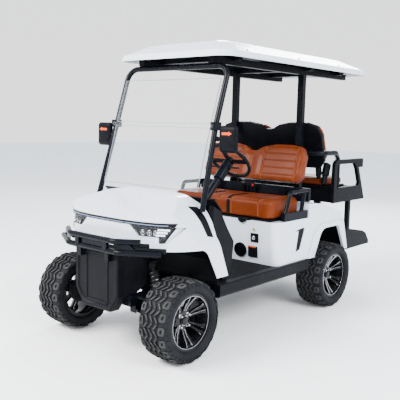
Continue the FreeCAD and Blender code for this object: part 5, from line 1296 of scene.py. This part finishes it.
def mirror_heads():
    """Rounded mirror shells, glass to the rear, an amber arrow on the front."""
    low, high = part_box("mirrors")
    heap = Heap()
    arrow = Heap()
    front = low.y
    back = front + MIRROR_DEEP
    z0, z1 = high.z - MIRROR_TALL, high.z
    for side in (-1, 1):
        x0, x1 = (high.x - MIRROR_WIDE, high.x) if side > 0 else (low.x, low.x + MIRROR_WIDE)
        rows = []
        for inset, y in MIRROR_ROWS:
            outline = rounded_outline(x0 + inset, x1 - inset, z0 + inset, z1 - inset,
                                      max(ROUND_LEAST, MIRROR_ROUND - inset * ROUND_SHRINK))
            rows.append([Vector((x, front + y, z)) for x, z in outline])
        heap.ring(rows)
        inset = GLASS_INSET
        glass = rounded_outline(x0 + inset, x1 - inset, z0 + inset, z1 - inset, MIRROR_ROUND * GLASS_ROUND)
        plate(heap, glass, (back - GLASS_HALF, back + GLASS_HALF), 1)
        middle = (x0 + x1) / 2
        height = (z0 + z1) / 2
        depth = front + MIRROR_DEEP / 2
        heap.rod((STALK_X * side, depth + STALK_BACK, height), (middle, depth, height), STALK_RADIUS)
        heap.turned((KNUCKLE_X * side, depth + STALK_BACK, height), LEFT * side, KNUCKLE, sides=16)
        plate(arrow, [(middle + x * side, z1 - ARROW_DROP + up) for x, up in ARROW],
              [front + reach for reach in ARROW_REACH])
    shells = heap.made("mirror_shells", [BLACK, MIRROR], "chassis", "black_plastic")
    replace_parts(shells, "mirrors")
    arrow.made("mirror_arrows", [AMBER], "chassis", "lamp")


# Belts

STRAPS = (-0.150, 0.078)
STRAP_WIDE = 0.030
STRAP_LIFT = 0.0025
STRAP_SINK = 0.001
STRAP_FROM = 0.280
STRAP_TO = 0.030
STRAP_BROW = 0.026
STRAP_FOOT = 0.812
STRAP_AHEAD = -0.9
STRAP_TOP_RAYS = 16
STRAP_FACE_RAYS = 8
# Blocks of a buckle (body, stem and button): lowest and highest corner, chamfer and material.
BUCKLE = (((-0.014, -0.030, 0.0), (0.014, 0.030, 0.085), 0.006, 0),
          ((-0.010, -0.022, -0.060), (0.010, 0.022, 0.0), 0.003, 0),
          ((-0.0155, -0.018, 0.052), (0.0155, 0.018, 0.078), 0.003, 1))
# The stem stands this far up in the body at every size.
STEM_OVERLAP = 0.004
FRONT_BUCKLE_IN = 0.030
FRONT_BUCKLE = (0.040, 0.012)
FRONT_TONGUES = (-0.34, -0.04, 0.34)
TONGUE_RISE = 0.006
FRONT_BUCKLE_LEAN = 14
FRONT_BUCKLE_SIZE = 0.8
REAR_BUCKLES = (-0.42, 0.42)
# In from the edge, rise, lean, size and share of the distance across.
REAR_PAIR = ((0.050, 0.020, -18, 1.35, 1.0), (0.045, 0.010, 10, 1.1, 0.86))


def strap(name, thing, x0, body):
    """Webbing over the top of a cushion and down its face."""
    heap = Heap()
    low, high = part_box(name)
    xs = (x0, x0 + STRAP_WIDE)
    top = [trace(thing, lines((x, low.y + STRAP_FROM, OVER), (x, low.y + STRAP_TO, OVER), STRAP_TOP_RAYS),
                 -UP) for x in xs]
    down = [trace(thing, lines((x, STRAP_AHEAD, high.z - STRAP_BROW), (x, STRAP_AHEAD, STRAP_FOOT),
                               STRAP_FACE_RAYS), REAR) for x in xs]
    for rows in (top, down):
        laid(heap, list(zip(*rows)), STRAP_LIFT, STRAP_SINK)
    heap.made(name + "_straps_%d" % round(x0 * 1000), [WEB], body, "black_plastic")


def buckle(heap, place, lean, size):
    """A seat-belt buckle or tongue standing out of the seat, with its button."""
    turn = Matrix.Translation(Vector(place)) @ Matrix.Rotation(math.radians(lean), 4, "X")
    for low, high, chamfer, pick in BUCKLE:
        part = Heap()
        across, along, top = [v * size for v in high]
        part.block([v * size for v in low], (across, along, max(top, STEM_OVERLAP)), chamfer)
        heap.add([turn @ v for v in part.verts], part.faces, [pick] * len(part.faces))


def belts():
    """Belt buckles of the front and rear seats, with the straps across the driver's bench."""
    low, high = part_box("front_cushion")
    heap = Heap()
    across, rise = FRONT_BUCKLE
    buckle(heap, (across, high.y - FRONT_BUCKLE_IN, high.z + rise), FRONT_BUCKLE_LEAN, FRONT_BUCKLE_SIZE)
    heap.made("front_buckle", [BLACK, RED], "seat_lid", "black_plastic")
    tongues = Heap()
    for x in FRONT_TONGUES:
        buckle(tongues, (x, high.y - FRONT_BUCKLE_IN, high.z + TONGUE_RISE), FRONT_BUCKLE_LEAN,
               FRONT_BUCKLE_SIZE)
    tongues.made("front_tongues", [BLACK, BLACK], "seat_lid", "black_plastic")
    rear = Heap()
    low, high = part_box("rear_cushion")
    for x in REAR_BUCKLES:
        for inset, rise, lean, size, share in REAR_PAIR:
            buckle(rear, (x * share, low.y + inset, high.z + rise), lean, size)
    rear.made("rear_buckles", [BLACK, BLACK], "rear_flip", "black_plastic")
    for x in STRAPS:
        strap("front_cushion", front_seat, x, "seat_lid")


# Seat box

WALL_Y = -0.195
WALL_Z = 0.460
WALL_SLOPE = 0.028 / 0.337
WALL_NORMAL = Vector((0, -1, -WALL_SLOPE)).normalized()
SPEAKER = (0.240, 0.550)
SPEAKER_PROUD = 0.010
GRILLE_RINGS = 5
GRILLE_OUTER = 0.050
GRILLE_STEP = 0.0095
# Section of a grille ring: (proud, out from its middle line).
GRILLE_RING = ((-0.004, 0.0022), (0.0015, 0.0016), (0.0015, -0.0016), (-0.004, -0.0022))
SPEAKER_RIM = ((-0.006, 0.057), (0.002, 0.058), (0.004, 0.055), (0.002, 0.0525), (-0.006, 0.0525))
SOCKET = (0.380, 0.663)
CHARGER = (0.361, 0.550)
# The two fittings and their half widths. Frame rows: (in from the edge, proud of the fitting).
FITTINGS = ((SOCKET, 0.030), (CHARGER, 0.040))
FITTING_ROWS = ((0.0, -0.004), (0.002, 0.004), (0.009, 0.004), (0.012, -0.001))
FITTING_ROUND = 0.008
FITTING_PROUD = 0.010
SOCKET_FORM = ((0.0, 0.014), (0.007, 0.014), (0.008, 0.012), (0.004, 0.008), (0.004, 0.001))
# Charge lights: across, height and material.
CHARGE_LIGHTS = ((0.372, 0.730, 3), (0.380, 0.722, 4))
LIGHT_PROUD = 0.0005
CHARGE_LIGHT = ((-0.003, 0.0085), (0.003, 0.0085), (0.0055, 0.005), (0.006, 0.001))
# Small blocks: height on the wall, across, ahead of and behind the wall, foot, top, chamfer and material.
BLOCKS = ((0.588, (0.327, 0.395), (-0.017, -0.008), (0.584, 0.592), 0.002, 1),
          (0.795, (0.225, 0.302), (-0.014, 0.004), (0.783, 0.805), 0.004, 0),
          (0.788, (0.245, 0.282), (-0.020, -0.006), (0.772, 0.794), 0.004, 0))
CORNER_ROUND = 0.060
CORNER_X = 0.522
CORNER_FOOT = 0.458
CORNER_HEAD = 0.800
CORNER_STEPS = 12
# The skin lies from just outside the body's face to its wall's thickness inside.
CORNER_OUT = 0.0002
CORNER_IN = 0.0045
CORNER_RAY_X = 0.45
CORNER_RAY_Z = (0.5, 0.7)
CORNER_RAY_Y = -2
# Wheel well outline: (along, up).
WELL = ((0.336, 0.452), (0.350, 0.500), (0.400, 0.640), (0.455, 0.706), (0.735, 0.706), (0.792, 0.640),
        (0.846, 0.500), (0.860, 0.452))
WELL_INNER = 0.262
WELL_OUTER = 0.572
WELL_WALL = 0.003


def wall_y(z):
    """The sloping front wall of the seat box."""
    return WALL_Y - WALL_SLOPE * (z - WALL_Z)


def seat_box_trim():
    """Speaker grille, socket, charger with its orange lip, charge lights and seat latch."""
    heap = Heap()
    across, up = SPEAKER
    centre = Vector((across, wall_y(up), up)) + WALL_NORMAL * SPEAKER_PROUD
    for k in range(GRILLE_RINGS):
        r = GRILLE_OUTER - GRILLE_STEP * k
        ring = [(proud, r + out) for proud, out in GRILLE_RING]
        heap.turned(centre, WALL_NORMAL, ring, sides=40, closed=True)
    heap.turned(centre, WALL_NORMAL, SPEAKER_RIM, sides=48, closed=True)
    for (x, z), half in FITTINGS:
        y = wall_y(z) - FITTING_PROUD
        rows = []
        for inset, proud in FITTING_ROWS:
            r = half - inset
            outline = rounded_outline(-r, r, -r, r, FITTING_ROUND, 3)
            rows.append([Vector((x + a, y - proud, z + b)) for a, b in outline])
        heap.ring(rows)
    for z, (x0, x1), (ahead, behind), (z0, z1), chamfer, pick in BLOCKS:
        heap.block((x0, wall_y(z) + ahead, z0), (x1, wall_y(z) + behind, z1), chamfer, pick)
    x, z = SOCKET
    heap.turned((x, wall_y(z) - FITTING_PROUD, z), WALL_NORMAL, SOCKET_FORM, 2, 24)
    for x, z, pick in CHARGE_LIGHTS:
        heap.turned((x, wall_y(z) - LIGHT_PROUD, z), WALL_NORMAL, CHARGE_LIGHT, pick, 14)
    heap.made("seat_box_trim", [BLACK, AMBER, PLATED, RED, GREEN], "chassis", "black_plastic")


def corner_skins():
    """The rounded upright corners of the seat box."""
    heap = Heap()
    low, high = [hit("rear_body", (CORNER_RAY_X, CORNER_RAY_Y, z), REAR)[0] for z in CORNER_RAY_Z]
    slope = (high.y - low.y) / (high.z - low.z)
    outside = CORNER_ROUND + CORNER_OUT
    inside = CORNER_ROUND - CORNER_IN
    section = ((CORNER_FOOT, outside), (CORNER_HEAD, outside), (CORNER_HEAD, inside), (CORNER_FOOT, inside))
    for side in (-1, 1):
        loops = []
        for k in range(CORNER_STEPS + 1):
            a = math.pi / 2 * k / CORNER_STEPS
            loops.append([Vector(((CORNER_X + r * math.sin(a)) * side,
                                  low.y + (z - low.z) * slope + CORNER_ROUND - r * math.cos(a), z))
                          for z, r in section])
        heap.ring(loops)
    heap.made("body_corners", [WHITE], "chassis", "white_panel")


def wheel_wells():
    """Black liners over the rear wheels."""
    heap = Heap()
    for side in (-1, 1):
        folded(heap, [((WELL_OUTER * side, y, z), (WELL_INNER * side, y, z)) for y, z in WELL],
               UP * WELL_WALL)
        heap.ring([[Vector(((WELL_INNER - drop) * side, y, z)) for y, z in WELL]
                   for drop in (0.0, WELL_WALL)])
    heap.made("rear_wheel_wells", [BLACK], "chassis", "black_plastic")


# Screen, roof and tail lamps

PANE_MERGE = 0.00005
PANE_SHARP = 1.0
PANE_SHORT = 0.02
PANE_EDGE_RADIUS = 0.0016
LINER_COLUMNS = 22
LINER_ROWS = 40
LINER_SIDE = 0.030
LINER_END = 0.035
LINER_RAY = 0.05
LINER_DROP = 0.0035
LINER_STEP = 0.06
ROOF_BOLTS = (-0.569, 0.105, 0.752)
ROOF_BOLT_IN = 0.040
ROOF_BOLT = ((-0.002, 0.009), (0.002, 0.009), (0.004, 0.006), (0.0045, 0.001))
# Tail lamps: below the pod's top, material.
TAIL_LAMPS = ((0.030, 0), (0.058, 1))
TAIL_IN = 0.015
TAIL_HALF = 0.011
TAIL_SUNK = 0.003
TAIL_PROUD = 0.004
TAIL_CHAMFER = 0.003
TAIL_REACH = 0.08


def pane_edges():
    """The bright polished edges of the screen's panes."""
    heap = Heap()
    edges = bmesh.new()
    edges.from_mesh(NODES["windscreen"].data)
    bmesh.ops.remove_doubles(edges, verts=edges.verts[:], dist=PANE_MERGE)
    for edge in edges.edges:
        sharp = len(edge.link_faces) == 2 and edge.calc_face_angle(0) > PANE_SHARP
        if sharp and edge.calc_length() > PANE_SHORT:
            heap.rod(edge.verts[0].co, edge.verts[1].co, PANE_EDGE_RADIUS, 0, 5)
    heap.made("screen_edges", [PANE_EDGE], "chassis", "clear")


def roof_liner():
    """The black lining under the roof, following its inner surface."""
    heap = Heap()
    low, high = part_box("roof")
    grid = {}
    for i in range(LINER_COLUMNS + 1):
        for j in range(LINER_ROWS + 1):
            x = low.x + LINER_SIDE + (high.x - low.x - 2 * LINER_SIDE) * i / LINER_COLUMNS
            y = low.y + LINER_END + (high.y - low.y - 2 * LINER_END) * j / LINER_ROWS
            place = hit("roof", (x, y, low.z - LINER_RAY), UP)[0]
            if place is not None:
                grid[i, j] = place - UP * LINER_DROP
    for i in range(LINER_COLUMNS):
        for j in range(LINER_ROWS):
            corners = [grid.get(key) for key in ((i, j), (i + 1, j), (i + 1, j + 1), (i, j + 1))]
            if None in corners:
                continue
            heights = [v.z for v in corners]
            if max(heights) - min(heights) < LINER_STEP:
                heap.add(corners, [(3, 2, 1, 0)], [0])
    heap.made("roof_lining", [VINYL], "chassis", "black_plastic")


def roof_bolts():
    """Bolts along the roof's long edges."""
    heap = Heap()
    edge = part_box("roof")[1].x - ROOF_BOLT_IN
    for side in (-1, 1):
        for y in ROOF_BOLTS:
            place, normal = hit("roof", (edge * side, y, OUTSIDE), -UP)
            heap.turned(place, normal, ROOF_BOLT, sides=10)
    heap.made("roof_bolts", [CAST], "chassis", "black_metal")


def tail_lamps():
    """Red and amber lamps on the rear faces of the side panels' pods."""
    heap = Heap()
    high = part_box("rear_sides")[1]
    half = TAIL_HALF
    for side in (-1, 1):
        x = (high.x - TAIL_IN) * side
        for drop, pick in TAIL_LAMPS:
            z = high.z - drop
            place = hit("rear_sides", (x, OUTSIDE, z), -REAR)[0]
            if place is not None and place.y > high.y - TAIL_REACH:
                heap.block((x - half, place.y - TAIL_SUNK, z - half),
                           (x + half, place.y + TAIL_PROUD, z + half), TAIL_CHAMFER, pick)
    heap.made("tail_lamps", [RED, AMBER], "chassis", "lamp")


# The small pieces, from the nose to the screen.
for make in (cowl_trim, mirror_heads, belts, seat_box_trim, shroud, shock_springs, roof_liner, hood_lines,
             tail_lamps, roof_bolts, corner_skins, wheel_wells, pane_edges):
    make()


# Carried-over pieces

FINISHES = (
    (WHITE, ("front_cowl", "rear_body", "roof")),
    (BLACK, ("sills", "dash", "bumper_panel", "rear_back_shell", "rear_sides", "footrest",
             "front_seat_pan", "rear_seat_pan", "seat_box_fittings", "pedals", "steering_wheel",
             "rear_base", "roof_frame")),
    (SKY_TINTED_STEEL, ("frame", "front_arms", "bumper", "front_posts", "rear_posts", "steering_column",
             "front_armrests")),
    (CAST, ("rear_axle", "rear_springs", "front_shocks", "knuckle_left", "knuckle_right")),
    (CLEAR, ("windscreen", "screen_bar")),
    (MAT, ("floor_pan",)),
    (CASING, ("battery",)),
)
for finish, labels in FINISHES:
    for label in labels:
        dress(NODES[label], [finish])
